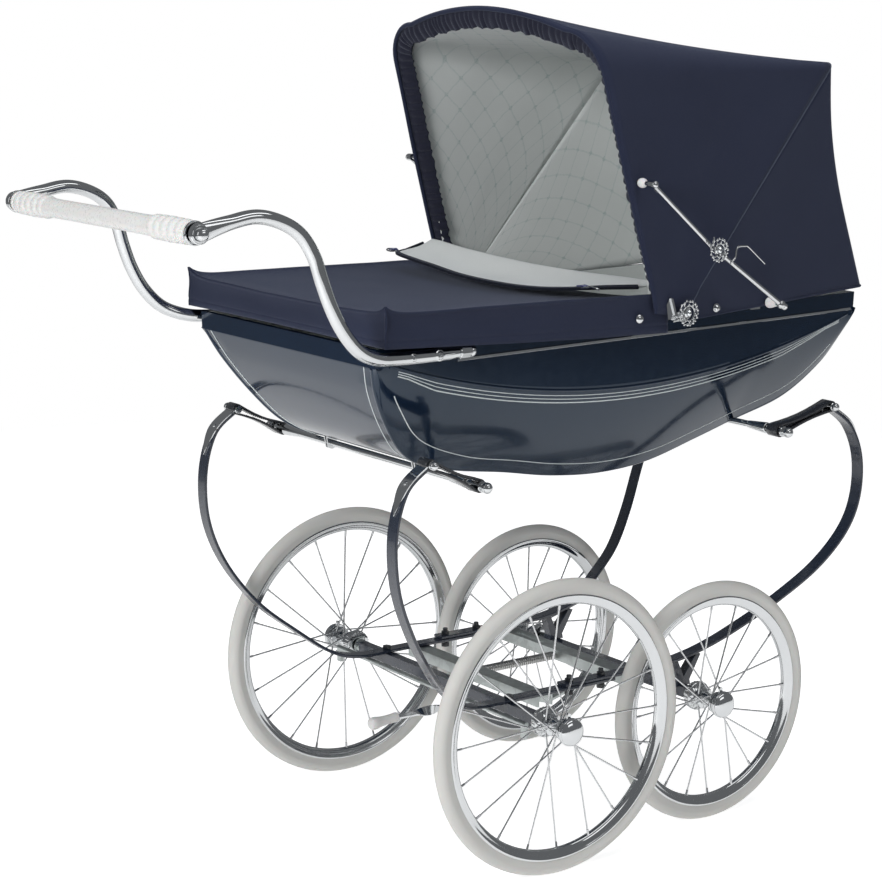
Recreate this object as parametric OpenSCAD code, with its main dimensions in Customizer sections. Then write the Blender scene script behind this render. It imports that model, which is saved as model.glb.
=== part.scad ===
// Coach-built baby carriage: sprung chassis, four spoked wheels, boat-shaped tub,
// folding hood on two bows, buttoned apron and a bright tubular push handle.
// +X is the hood end, -X the handle end, +Y the left side, +Z up, Z = 0 the ground.
// Lengthwise positions below are measured from the rear axle; the drawing is then
// shifted by axle_x so that the middle of the whole carriage stands over the origin.

/* [Wheels] */
// Radius of the two wheels under the handle
rear_wheel_r = 220; // [214:1:224]
// Radius of the two wheels under the hood
front_wheel_r = 188; // [180:1:190]
// Distance between the two axles
wheelbase = 337; // [332:1:342]
// Distance from the centre plane to the rear wheel plane
rear_track = 280; // [278:1:284]
// Distance from the centre plane to the front wheel plane
front_track = 231; // [229:1:233]
// Spokes in each wheel
spoke_count = 20; // [16:4:24]
// Radius of the spoke wire
spoke_r = 1.1; // [0.9:0.1:1.4]

/* [Chassis] */
// Width of the flat spring steel
spring_w = 22; // [20:1:24]
// Thickness of the flat spring steel
spring_t = 5; // [4:0.5:5]
// Distance from the centre plane to the low side bars
bar_y = 160; // [158:1:164]
// Distance from the centre plane to the upright C springs
spring_y = 257; // [254:1:258]
// Radius of the round rods that carry the tub
rod_r = 6; // [5:0.5:6]
// Turns in the tension spring between the cross members
coil_turns = 22; // [16:1:24]

/* [Tub] */
// Thickness of the tub wall
wall = 7; // [6:1:10]
// Half width of the tub at its rim
tub_half_w = 232; // [228:1:233]
// Height of the bright rail above the ground at the handle end
rail_z = 766; // [764:1:768]

/* [Handle] */
// Radius of the bright handle tube
tube_r = 9.5; // [8:0.5:9.5]
// Radius of the white hand grip
grip_r = 14.5; // [13:0.5:15]
// Half length of the white hand grip
grip_half = 247; // [238:1:250]

/* [Hood and apron] */
// Thickness of the hood and apron cloth
cloth = 3; // [2:0.5:3]
// Half width of the hood at the rim
hood_half_w = 272; // [270:1:274]
// Rise of the hood crown above its side corners
crown = 28; // [20:1:34]
// Half width of the apron
apron_half_w = 262; // [261:1:264]

/* [Hidden] */
$fn = 48;
eps = 0.1;
LEFT = 1;
RIGHT = -1;

// Rear axle's place along the finished part
axle_x = -15;

// Wheel section, from the tread inwards
tyre_depth = 24;
tyre_w = 22;
rim_depth = 14;
rim_w = 19;
axle_r = 6;
axle_bar = 16;
hub_out = 30;
hub_in = 40;
flange_r = 17;
brake_ring_r = 24;

// Side bars and their bolts
bar_z = rear_wheel_r + axle_bar / 2 + spring_t / 2 + 0.7;
bolt_xs = [114, 176];

// Rear and front C springs: side view through [x, y, z], tip first
rear_tip = [-222, spring_y, 624];
roller_rise = 12;
rear_spring_path = [
    rear_tip, [-256, spring_y, 595], [-274, spring_y, 535], [-270, spring_y, 460],
    [-243, 252, 390], [-198, 234, 325], [-150, 200, 280], [-100, 172, 243],
    [-52, bar_y, bar_z], [20, bar_y, bar_z], [110, bar_y, bar_z], [196, bar_y, bar_z]
];
front_tip = [543, spring_y, 628];
bar_z2 = bar_z + spring_t + 0.5;
front_spring_path = [
    front_tip, [584, spring_y, 597], [608, spring_y, 545], [607, spring_y, 482],
    [586, 252, 428], [548, 232, 372], [496, 204, 322], [440, 184, 285],
    [384, 166, 255], [323, bar_y, 240], [250, bar_y, bar_z2], [100, bar_y, bar_z2]
];

// Rods under the tub, where the straps hang
rear_rod = [-135, 590];
front_rod = [432, 606];
rod_half = 276;
ball_r = 8;
strap_w = 22;
strap_t = 4;

// Tub: lower edge in side view, from the rear rim to the front rim
tub_keel = [
    [-286, 762], [-268, 722], [-235, 672], [-196, 628], [-152, 603],
    [-90, 588], [-10, 576], [80, 560], [172, 553], [264, 560], [358, 584],
    [450, 611], [530, 640], [584, 690], [606, 740], [613, 776]
];
tub_top = 830;
// The sides stand upright above the crease and lean in below it
crease_low = [165, 696];
crease_bend = 0.00038;
low_corner = [155, 604];
side_lean = 0.451;
side_belly = 5;
rail_front_z = 780;
rim_rise = 22;

// Handle tube centre line for the left side
handle_path = [
    [-148, 247, 777], [-205, 247, 776], [-262, 250, 777], [-300, 259, 781], [-334, 268, 795],
    [-361, 272, 822], [-381, 273, 856], [-395, 272, 892], [-406, 270, 926],
    [-424, 267, 955], [-452, 265, 973], [-489, 264, 982], [-530, 263, 976], [-571, 262, 965]
];
grip_at = [-571, 965];
bolt_handle_xs = [-239, -196];

// Hood: pivot, elbow irons and bow reach, all in side view
pivot = [229, 804];
iron_top = [141, 996];
iron_mid = [262, 896];
iron_low = [396, 806];
iron_y = 296;
front_reach = 439;
front_corner = 70;
rear_angle = 49.9;
rear_reach = 460;
rear_corner = 24;
rear_arch = 0.15;
leg_lean = 12;
back_foot = [616, 813];
bow_gap = 3;
bow_t = 4;
bow_half = 7;
front_bow_d = cloth + bow_gap;
rear_bow_d = front_bow_d + bow_t + 1;
lining_d = rear_bow_d + bow_t + 5;
front_bow_angle = 110;
pin_r = 4;

// Fractions 0..1 in n steps
function steps(n) = [for (i = [0:n]) i / n];

// Smooth curve through points p (Catmull-Rom), n pieces per span
function cr(a, b, c, d, t) =
    0.5 * (2 * b + (c - a) * t + (2 * a - 5 * b + 4 * c - d) * t * t
        + (3 * b - a - 3 * c + d) * t * t * t);
function smooth(p, n) = concat(
    [for (i = [0:len(p) - 2]) for (k = [0:n - 1])
        cr(p[max(i - 1, 0)], p[i], p[i + 1], p[min(i + 2, len(p) - 1)], k / n)],
    [p[len(p) - 1]]);
function unit(v) = v / norm(v);
function flip(p) = [for (q = p) [q[0], -q[1], q[2]]];
function side(p, s) = s == LEFT ? p : flip(p);

// Direction of path p at point i
function heading(p, i) = unit(p[min(i + 1, len(p) - 1)] - p[max(i - 1, 0)]);

// One ring of section points sec around point i, kept square to the Y axis
function ring(p, i, sec) =
    let (t = heading(p, i), b = unit([0, 1, 0] - t * t[1]), n = cross(t, b))
    [for (s = sec) p[i] + b * s[0] + n * s[1]];

function round_section(r, n) = [for (i = [0:n - 1]) r * [cos(360 * i / n), sin(360 * i / n)]];
function flat_section(w, t) = [[w, t] / 2, [-w, t] / 2, [-w, -t] / 2, [w, -t] / 2];

// Solid through a row of closed rings with equal numbers of points
module loft(rings) {
    m = len(rings[0]);
    last = (len(rings) - 1) * m;
    polyhedron(
        points = [for (r = rings) each r],
        faces = concat(
            [[for (k = [0:m - 1]) k]],
            [for (i = [0:len(rings) - 2]) for (k = [0:m - 1]) each [
                [i * m + k, (i + 1) * m + k, (i + 1) * m + (k + 1) % m],
                [i * m + k, (i + 1) * m + (k + 1) % m, i * m + (k + 1) % m]]],
            [[for (k = [m - 1:-1:0]) last + k]]));
}

// Solid along path p with section sec
module sweep(p, sec) {
    loft([for (i = [0:len(p) - 1]) ring(p, i, sec)]);
}

// Closed sheet between an outer and an inner grid of points
module sheet(outer, inner) {
    nu = len(outer);
    nv = len(outer[0]);
    half = nu * nv;
    rows = [for (i = [0:nu - 2]) for (j = [0:nv - 2]) [i * nv + j, (i + 1) * nv + j]];
    edge = concat(
        [for (j = [0:nv - 2]) [j, j + 1]],
        [for (i = [0:nu - 2]) [i * nv + nv - 1, (i + 1) * nv + nv - 1]],
        [for (j = [nv - 2:-1:0]) [(nu - 1) * nv + j + 1, (nu - 1) * nv + j]],
        [for (i = [nu - 2:-1:0]) [(i + 1) * nv, i * nv]]);
    polyhedron(
        points = concat([for (r = outer) each r], [for (r = inner) each r]),
        faces = concat(
            [for (r = rows) each [[r[0], r[1], r[0] + 1], [r[0] + 1, r[1], r[1] + 1]]],
            [for (r = rows) each [
                [half + r[0], half + r[0] + 1, half + r[1]],
                [half + r[0] + 1, half + r[1] + 1, half + r[1]]]],
            [for (e = edge) each [
                [e[0], e[1], half + e[0]],
                [e[1], half + e[1], half + e[0]]]]));
}

// Moves children from rear-axle positions to the finished frame
module place() {
    translate([axle_x, 0, 0]) children();
}

// Cylinder along Y from y0 to y1 at [x, z]
module pin_y(at, y0, y1, r) {
    translate([at[0], y0, at[1]]) rotate([-90, 0, 0]) cylinder(h = y1 - y0, r = r);
}

// Extrudes a side-view outline over -h..h in Y
module side_plate(outline, h) {
    rotate([90, 0, 0]) translate([0, 0, -h]) linear_extrude(2 * h) polygon(outline);
}

// ---------- chassis ----------

module spring_strip(path, s) {
    place() sweep(side(smooth(path, 4), s), flat_section(spring_w, spring_t));
}

module rear_spring(s) {
    color("#232c3a") spring_strip(rear_spring_path, s);
}

module front_spring(s) {
    color("#232c3a") spring_strip(front_spring_path, s);
}

// Roller and ball at the tip of each C spring, and the riveted plate behind it
module tip_fitting(tip, s, away) {
    y0 = s * spring_y;
    pin_y([tip[0] - away * 4, tip[2] + roller_rise], y0 - 14, y0 + 14, 4.5);
    translate([tip[0] - away * 4, s * (spring_y + 18), tip[2] + roller_rise]) sphere(r = 6);
}

module spring_tip_fittings() {
    color("silver") place() for (s = [LEFT, RIGHT]) {
        tip_fitting(rear_tip, s, -1);
        tip_fitting(front_tip, s, 1);
    }
}

module axle(x, z, bar_half, stub_half, bar) {
    place() {
        translate([x - bar / 2, -bar_half, z - bar / 2]) cube([bar, 2 * bar_half, bar]);
        pin_y([x, z], -stub_half, stub_half, axle_r);
    }
}

module rear_axle() {
    color("#232c3a")
        axle(0, rear_wheel_r, rear_track - hub_in - 2, rear_track + hub_out - 4, axle_bar);
}

module front_axle() {
    color("#232c3a")
        axle(wheelbase, front_wheel_r, front_track - hub_in - 2, front_track + hub_out - 4, axle_bar);
}

// Two-legged riser that lifts each side bar off the low front axle
module axle_risers() {
    foot_z = front_wheel_r + axle_bar / 2 + eps;
    color("#232c3a") place() for (s = [LEFT, RIGHT])
        translate([0, s * bar_y, 0]) side_plate([
            [wheelbase - 14, foot_z], [wheelbase + 14, foot_z], [wheelbase + 12, foot_z + 8],
            [wheelbase + 34, 242], [wheelbase + 24, 242], [wheelbase, foot_z + 14],
            [wheelbase - 12, 236.4], [wheelbase - 22, 236], [wheelbase - 12, foot_z + 8]
        ], 8);
}

module chassis_bolts() {
    color("#3a414c") place() for (s = [LEFT, RIGHT]) {
        for (x = bolt_xs) translate([x, s * bar_y, bar_z - 12]) cylinder(h = 30, r = 4);
        for (x = bolt_xs) translate([x, s * bar_y, bar_z2 + 3]) cylinder(h = 4, r = 7, $fn = 6);
        for (x = bolt_xs) translate([x, s * bar_y, bar_z - 12]) cylinder(h = 6, r = 7, $fn = 6);
        translate([0, s * bar_y, bar_z - 30]) cylinder(h = 36, r = 4);
        translate([0, s * bar_y, bar_z + 3]) cylinder(h = 4, r = 7, $fn = 6);
        translate([0, s * bar_y, bar_z - 28]) cylinder(h = 7, r = 7, $fn = 6);
    }
}

member_xs = [62, 240];
member_z = 212;

// Galvanised channels across the chassis, the front one with a long slot
module cross_members() {
    color("#9aa5a3") place() {
        for (x = member_xs) difference() {
            translate([x - 14, -bar_y - 9, member_z])
                cube([28, 2 * bar_y + 18, bar_z - spring_t / 2 - eps - member_z]);
            translate([x - 11, -bar_y - 10, member_z - 1])
                cube([22, 2 * bar_y + 20, bar_z - spring_t / 2 - eps - member_z - 2]);
            if (x > 100) translate([x - 4, 60, member_z]) cube([8, 70, 40]);
        }
    }
}

module diagonal_strut() {
    color("#9aa5a3") place() translate([82, -150, member_z - 4.2])
        rotate([0, 0, 24]) cube([150, 16, 4]);
}

// Close-wound spring, hooked between the two cross members
module tension_spring() {
    x0 = member_xs[0] + 16;
    x1 = member_xs[1] - 16;
    r = 5.5;
    n = coil_turns * 9;
    color("silver") place() {
        sweep([for (i = [0:n]) [x0 + (x1 - x0) * i / n, 15 + r * cos(40 * i), 220 + r * sin(40 * i)]],
            round_section(1.3, 6));
        for (x = [x0 - 2, x1 - 1]) translate([x, 5, 212]) cube([3, 20, 15]);
    }
}

// Leather strap from spring tip a to rod b, both [x, z]
module strap(a, b, s) {
    d = b - a;
    len_ab = norm(d);
    turn = atan2(d[1], d[0]);
    color("#15161a") place() translate([a[0], s * spring_y + strap_w / 2, a[1]])
        rotate([90, 0, 0]) linear_extrude(strap_w) difference() {
            union() {
                circle(r = 5 + strap_t);
                translate(d) circle(r = rod_r + strap_t);
                rotate(turn) translate([0, -4.5 - strap_t]) square([len_ab, 2 * strap_t + 9]);
            }
            circle(r = 5);
            translate(d) circle(r = rod_r + 0.4);
            rotate(turn) translate([2, -4.2]) square([len_ab - 4, 8.4]);
        }
}

module rear_strap(s) {
    strap([rear_tip[0] + 4, rear_tip[2] + roller_rise], rear_rod, s);
}

module front_strap(s) {
    strap([front_tip[0] - 4, front_tip[2] + roller_rise], front_rod, s);
}

// ---------- brake ----------

brake_at = [-34, 221];
brake_y = -88;

module brake_lever() {
    color("silver") place() difference() {
        translate([brake_at[0] - 116, brake_y - 8, brake_at[1] - 9.5])
            rotate([0, -4, 0]) cube([118, 16, 3.5]);
        pin_y(brake_at, brake_y - 20, brake_y + 20, 4.1);
    }
}

module brake_grip() {
    color("white") place() translate([brake_at[0] - 116, brake_y, brake_at[1] - 8])
        rotate([0, -94, 0]) rotate_extrude() polygon([
            [0, 0.5], [7, 0.5], [8, 4], [7.5, 30], [9, 34], [9, 44], [6, 49], [0, 50]]);
}

// Cross shaft whose end pawls drop behind the ribs of the rear hubs
module brake_shaft() {
    half = rear_track - hub_in + 8;
    color("#9aa5a3") place() {
        pin_y(brake_at, -half, half, 4);
        for (s = [LEFT, RIGHT])
            translate([brake_at[0] - 3, s * (half - 5) - 5, brake_at[1] - 22]) cube([6, 10, 22]);
        translate([brake_at[0] - 6, brake_y - 11, brake_at[1] - 6]) cube([5, 22, 9]);
    }
}

// ---------- wheels ----------

function wheel_r(front) = front ? front_wheel_r : rear_wheel_r;

// Puts a wheel part, drawn round the Y axis with +Y outwards, at its wheel
module at_wheel(front, s) {
    place() translate([front ? wheelbase : 0, s * (front ? front_track : rear_track), wheel_r(front)])
        rotate([0, 0, s == LEFT ? 0 : 180]) children();
}

// Turns a [radius, offset] outline round the Y axis
module turned(outline) {
    rotate([-90, 0, 0]) rotate_extrude($fn = 96) polygon(outline);
}

module tyre(front, s) {
    r = wheel_r(front);
    color("#dcdbd6") at_wheel(front, s) rotate([-90, 0, 0]) rotate_extrude($fn = 96) {
        translate([r - tyre_w / 2, 0]) circle(d = tyre_w);
        translate([r - tyre_depth + eps, -rim_w / 2 + 1]) square([tyre_depth - tyre_w / 2, rim_w - 2]);
    }
}

module rim(front, s) {
    a = wheel_r(front) - tyre_depth;
    h = rim_w / 2;
    color("#c8ccd0") at_wheel(front, s) turned([
        [a, -h], [a, h], [a - 5, h], [a - 9, h - 3], [a - rim_depth, 4],
        [a - rim_depth, -4], [a - 9, 3 - h], [a - 5, -h]]);
}

// Crossed wires from both hub flanges to the rim
module spokes(front, s) {
    r = wheel_r(front) - tyre_depth - rim_depth + 2;
    color("#c8ccd0") at_wheel(front, s) for (i = [0:spoke_count - 1]) {
        a = 360 * i / spoke_count;
        fore = i % 2 == 0 ? 1 : -1;
        lean = floor(i / 2) % 2 == 0 ? 32 : -32;
        foot = [(flange_r - 3) * cos(a + lean * 2), fore * 15, (flange_r - 3) * sin(a + lean * 2)];
        head = [r * cos(a), fore * 1.5, r * sin(a)];
        d = head - foot;
        translate(foot) rotate([0, acos(d[2] / norm(d)), atan2(d[1], d[0])])
            cylinder(h = norm(d), r = spoke_r, $fn = 16);
    }
}

// Turned hub with two spoke flanges, ribbed brake ring inside and domed cap outside
module hub(front, s) {
    color("#d6d9dc") at_wheel(front, s) difference() {
        union() {
            turned([
                [0, -hub_in], [brake_ring_r - 4, -hub_in], [brake_ring_r - 2, -hub_in + 12],
                [13, -hub_in + 18], [11, -20], [flange_r, -17], [flange_r, -13], [10, -10],
                [10, 10], [flange_r, 13], [flange_r, 17], [12, 20], [20, 22], [21, 26],
                [20, hub_out], [15, hub_out + 4], [8, hub_out + 6.5], [0, hub_out + 7.5]]);
            for (i = [0:11]) rotate([0, 30 * i, 0])
                translate([brake_ring_r - 5, 1 - hub_in, -2]) cube([4, 10, 4]);
            translate([-4, 20.6, 10]) cube([8, 3.8, 15.5]);
        }
        translate([0, -hub_in - 1, 0]) rotate([-90, 0, 0])
            cylinder(h = hub_in + hub_out - 2, r = axle_r + 0.06);
    }
}

// ---------- tub ----------

function lift(x) = rail_z + (rail_front_z - rail_z) * (x + 286) / 899;

// Pulls a side-view point towards the middle of the tub by d
function shrink(p, d) =
    let (v = [p[0] - 170, p[1] - 860])
    [p[0] - d * v[0] / norm(v) * 1.12, p[1] - d * v[1] / norm(v) * 1.12];

// Half width of the tub's lower edge where that edge is at height z
function low_half(z) =
    low_corner[0] + (z - low_corner[1]) * (z > low_corner[1] ? side_lean : 0.06);

function crease_z(x) = crease_low[1] + crease_bend * pow(x - crease_low[0], 2);

// Section of the tub at lower edge point p of the side view, drawn in by d
function tub_ring(p, d) =
    let (
        low = low_half(p[1]) - d,
        top = tub_half_w - d,
        q = shrink(p, d),
        c = max(q[1] + 2, min(crease_z(q[0]), lift(q[0]) - 3)),
        half = concat(
            [for (t = steps(4)) [
                low + (top - low) * t + side_belly * 4 * t * (1 - t), q[1] + (c - q[1]) * t]],
            [[top + 3, tub_top]])
    ) concat(
        [for (h = half) [q[0], h[0], h[1]]],
        [for (i = [len(half) - 1:-1:0]) [q[0], -half[i][0], half[i][1]]]);

// Solid tub, every face drawn in by inset
module tub_form(inset) {
    loft([for (p = smooth(tub_keel, 4)) tub_ring(p, inset)]);
}

// Space between heights lo and hi, both following the slope of the rim
module rim_band(lo, hi) {
    side_plate([
        [-400, lift(-400) + lo], [700, lift(700) + lo], [700, lift(700) + hi], [-400, lift(-400) + hi]], 330);
}

module tub_shell() {
    color("#1f2a38") place() difference() {
        intersection() {
            tub_form(0);
            rim_band(-400, rim_rise);
        }
        tub_form(wall);
    }
}

module tub_rail() {
    color("silver") place() intersection() {
        difference() {
            tub_form(-2);
            tub_form(-0.3);
        }
        rim_band(-7, -2);
    }
}

module mattress() {
    color("#e4e2dc") place() intersection() {
        tub_form(wall + 3);
        translate([-400, -300, 600]) cube([1200, 600, 60]);
    }
}

// Round rod across the tub at [x, z] with sleeves, balls and two hangers
module body_rod(at, hang) {
    pin_y(at, -rod_half, rod_half, rod_r);
    for (s = [LEFT, RIGHT]) {
        translate([at[0], s * (rod_half + 4), at[1]]) sphere(r = ball_r);
        translate([at[0] - 9, s * 116 - 10, at[1] - 8]) cube([18, 20, hang + 8]);
        pin_y(at, min(s * 196, s * 240), max(s * 196, s * 240), rod_r + 2);
    }
}

module body_rods() {
    color("silver") place() difference() {
        union() {
            body_rod(rear_rod, 40);
            body_rod(front_rod, 40);
        }
        tub_form(-0.3);
    }
}

// ---------- handle ----------

module handle_tube(s) {
    color("silver") place() sweep(side(smooth(handle_path, 3), s), round_section(tube_r, 12));
}

module handle_grip() {
    ribs = [for (i = [0:4]) grip_half - 20 - 17 * i];
    color("#f2f2f0") place() difference() {
        union() {
            pin_y(grip_at, -grip_half, grip_half, grip_r - 1.5);
            for (s = [LEFT, RIGHT]) for (y = ribs)
                pin_y(grip_at, s * y - 6, s * y + 6, grip_r + 0.5);
        }
        pin_y(grip_at, -grip_half - 1, grip_half + 1, 7.1);
    }
}

// Through rod of the grip with domed nuts, and the bolts on the tub side
module handle_fixings() {
    color("silver") place() {
        pin_y(grip_at, -274, 274, 7);
        for (s = [LEFT, RIGHT]) {
            translate([grip_at[0], s * 276, grip_at[1]]) sphere(r = 11);
            for (x = bolt_handle_xs) translate([x, s * 233, 776])
                rotate([-90 * s, 0, 0]) cylinder(h = 27, r = 5);
            translate([-147, s * 247, 777]) sphere(r = 11);
            translate([-147, s * 233, 777]) rotate([-90 * s, 0, 0]) cylinder(h = 14, r = 6);
        }
    }
}

// ---------- apron ----------

apron_x = [-289, 205];

// Solid apron block, drawn in by d on every side but the bottom
module apron_form(d) {
    side_plate([
        [apron_x[0] + d, d > 0 ? 700 : 793], [apron_x[1] + 1, d > 0 ? 700 : 776],
        [apron_x[1] + 1, 836 - d], [60, 838 - d], [-150, 841 - d],
        [apron_x[0] + 6 + d, 844 - d], [apron_x[0] + 2 + d, 842 - d], [apron_x[0] + d, 838 - d]
    ], apron_half_w - d);
}

module apron() {
    color("#262a3e") place() difference() {
        apron_form(0);
        apron_form(cloth);
        translate([apron_x[1] - 25, 8 - apron_half_w, 700])
            cube([60, 2 * (apron_half_w - 8), 200]);
    }
}

module apron_studs() {
    color("silver") place() for (s = [LEFT, RIGHT])
        translate([151, s * (apron_half_w + 0.2), 800]) rotate([-90 * s, 0, 0])
            cylinder(h = 3, r1 = 6, r2 = 4);
}

// Wind flap at the hood end of the apron, folded back to lie on it
module apron_flap() {
    color("#c9cfcc") place() side_plate([
        [186, 843], [186, 847], [150, 850], [98, 848], [95, 845], [98, 842], [150, 843]
    ], 236);
}

// ---------- hood ----------

// Angle of the hood's front edge at reach r from the pivot
function front_angle(r) = 105.3 + 2830 / max(r, 85);

// Point of the hood at angle a and reach r in side view, at sideways place y
function hood_pt(a, r, y) = [pivot[0] + r * cos(a), y, pivot[1] + r * sin(a)];

// Arch outline of a bow as [reach, y] pairs: leg, round corner, crown, corner, leg.
// top is the corner reach, c its radius, w the half width, d the distance drawn in
function arch(top, w, rise, c, d, n = 10) =
    let (
        edge = w - leg_lean - c,
        leg = [for (t = steps(5)) [34 + (top - c - 34) * t, w - leg_lean * t - d]],
        bend = [for (t = [1:5]) [top - c + (c - d) * sin(18 * t), edge + (c - d) * cos(18 * t)]],
        half = concat(leg, bend),
        mid = [for (i = [1:n - 1]) let (y = edge * (1 - 2 * i / n))
            [top - d + rise * (1 - pow(y / edge, 2)), y]],
        back = [for (i = [len(half) - 1:-1:0]) [half[i][0], -half[i][1]]]
    ) concat(half, mid, back);

// Hood skin between the front edge (u = 0) and the rear bow (u = 1)
function canopy_row(u, d) =
    let (
        f = arch(front_reach, hood_half_w, crown, front_corner, d),
        g = arch(rear_reach, hood_half_w, crown * rear_arch, rear_corner, d)
    ) [for (j = [0:len(f) - 1])
        (1 - u) * hood_pt(front_angle(f[j][0]), f[j][0], f[j][1])
            + u * hood_pt(rear_angle + 0.4, g[j][0], g[j][1])];

// Hood skin between the rear bow (u = 0) and the tub's front rim (u = 1)
function back_row(u, d) =
    let (
        f = arch(rear_reach, hood_half_w, crown * rear_arch, rear_corner, d),
        k = (back_foot[0] - pivot[0]) / rear_reach,
        sag = 14 * sin(180 * u)
    ) [for (p = f)
        (1 - u) * hood_pt(rear_angle - 0.4, p[0], p[1])
            + u * [pivot[0] + min(p[0] * k, back_foot[0] - pivot[0] - d),
                p[1] * (1 - 0.04 * p[0] / rear_reach), back_foot[1]]
            - [sag * p[0] / rear_reach, 0, 0]];

module hood_canopy() {
    color("#262a3e") place() difference() {
        sheet([for (u = steps(5)) canopy_row(u, 0)], [for (u = steps(5)) canopy_row(u, cloth)]);
        pin_y(iron_top, -300, 300, 4);
    }
}

module hood_back() {
    color("#262a3e") place()
        sheet([for (u = steps(5)) back_row(u, 0)], [for (u = steps(5)) back_row(u, cloth)]);
}

// Pale lining, hung inside the bows
module hood_lining() {
    color("#c9cfcc") place()
        sheet([for (u = steps(4)) canopy_row(0.03 + 0.94 * u, lining_d)],
            [for (u = steps(4)) canopy_row(0.03 + 0.94 * u, lining_d + 1.5)]);
}

// One long edge of a flat bow; k is the side, d the distance inside the cloth
function bow_edge(angle, top, rise, c, d, k) =
    [for (p = arch(top, hood_half_w, rise, c, d))
        hood_pt(angle, p[0], p[1]) + k * bow_half * [sin(angle), 0, -cos(angle)]];

// Flat steel bow with an eye at each end, its flat side along the cloth
module bow(angle, top, rise, c, d) {
    place() difference() {
        union() {
            sheet([for (k = [-1, 1]) bow_edge(angle, top, rise, c, d, k)],
                [for (k = [-1, 1]) bow_edge(angle, top, rise, c, d + bow_t, k)]);
            for (s = [LEFT, RIGHT]) {
                y = s * (hood_half_w - d - bow_t / 2);
                pin_y(pivot, y - bow_t / 2, y + bow_t / 2, 11);
                translate([pivot[0], y, pivot[1]]) rotate([0, -angle, 0])
                    translate([8, 0.3 - bow_t / 2, 1 - bow_half])
                        cube([30, bow_t - 0.6, 2 * bow_half - 2]);
            }
        }
        pin_y(pivot, -300, 300, pin_r + 0.06);
    }
}

module hood_front_bow() {
    y_out = hood_half_w - front_bow_d;
    reach = norm(iron_top - pivot);
    color("#4a5058") {
        bow(front_bow_angle, front_reach - 12, crown, front_corner, front_bow_d);
        place() for (s = [LEFT, RIGHT]) {
            iron(pivot + (reach - 4) * [cos(front_bow_angle), sin(front_bow_angle)], iron_top,
                s * (y_out - 7.5), 12, bow_t - 1.6);
            pin_y(iron_top, min(s * (y_out - 7.5), s * (iron_y - 10)),
                max(s * (y_out - 7.5), s * (iron_y - 10)), 3);
        }
    }
}

module hood_rear_bow() {
    color("#4a5058") bow(rear_angle, rear_reach, crown * rear_arch, rear_corner, rear_bow_d);
}

// Straight iron from a to b, both [x, z], as a flat bar with round ends
module iron(a, b, y, w, t) {
    d = b - a;
    translate([a[0], y + t / 2, a[1]]) rotate([90, 0, 0]) linear_extrude(t) {
        circle(d = w);
        translate(d) circle(d = w);
        rotate(atan2(d[1], d[0])) translate([0, -0.46 * w]) square([norm(d), 0.92 * w]);
    }
}

module hood_arm_lower(s) {
    color("silver") place() {
        difference() {
            iron(iron_low, iron_mid, s * iron_y, 9, 4);
            pin_y(iron_low, s * iron_y - 10, s * iron_y + 10, 3.06);
        }
        translate([iron_mid[0], s * (iron_y + 2), iron_mid[1]])
            rotate([-90 * s, 0, 0]) cylinder(h = 9, r1 = 13, r2 = 9);
        translate([iron_mid[0], s * (iron_y - 9), iron_mid[1]])
            rotate([-90 * s, 0, 0]) cylinder(h = 9, r = 3);
    }
}

module hood_arm_upper(s) {
    color("silver") place() {
        difference() {
            iron(iron_mid, iron_top, s * (iron_y - 5), 9, 4);
            pin_y(iron_mid, s * iron_y - 20, s * iron_y + 20, 3.06);
        }
        pin_y(iron_top, min(s * iron_y, s * (iron_y - 8)), max(s * iron_y, s * (iron_y - 8)), 3);
        translate([iron_top[0], s * (iron_y + 5), iron_top[1]]) sphere(r = 6.5);
    }
}

catch_at = iron_low + (iron_mid - iron_low) * 0.78;

module hood_catch(s) {
    color("silver") place() difference() {
        union() {
            iron(catch_at, [316, 898], s * (iron_y + 5), 5, 3);
            iron([316, 898], [352, 871], s * (iron_y + 5), 5, 3);
        }
        pin_y(catch_at, s * iron_y - 20, s * iron_y + 20, 1.5);
    }
}

module hood_knob(s) {
    color("silver") place() translate([pivot[0], s * (hood_half_w + 6.5), pivot[1]])
        rotate([-90 * s, 0, 0]) difference() {
            cylinder(h = 10, r1 = 14, r2 = 10);
            translate([0, 0, -1]) cylinder(h = 6, r = pin_r + 0.06);
        }
}

// Plate on the tub's side below the place at, with two rivet heads and a pin out to y_end
module side_bracket(at, s, y_end, r) {
    y_in = tub_half_w + 5.5;
    translate([at[0] - 10, min(s * y_in, s * (y_in + 5)), 760]) cube([20, 5, at[1] + 8 - 760]);
    for (z = [768, 782]) translate([at[0], s * y_in, z])
        rotate([-90 * s, 0, 0]) cylinder(h = 7, r = 3);
    translate([at[0], s * y_in, at[1]]) rotate([-90 * s, 0, 0]) cylinder(h = y_end - y_in, r = r);
}

// Brackets on the tub with the pins of the bows and of the irons
module hood_pivots() {
    color("silver") place() for (s = [LEFT, RIGHT]) {
        side_bracket(pivot, s, hood_half_w + 10, pin_r);
        side_bracket(iron_low, s, iron_y + 8, 3);
        translate([iron_low[0], s * (iron_y - 22), iron_low[1]])
            rotate([-90 * s, 0, 0]) cylinder(h = 19, r = 6);
    }
}

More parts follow.
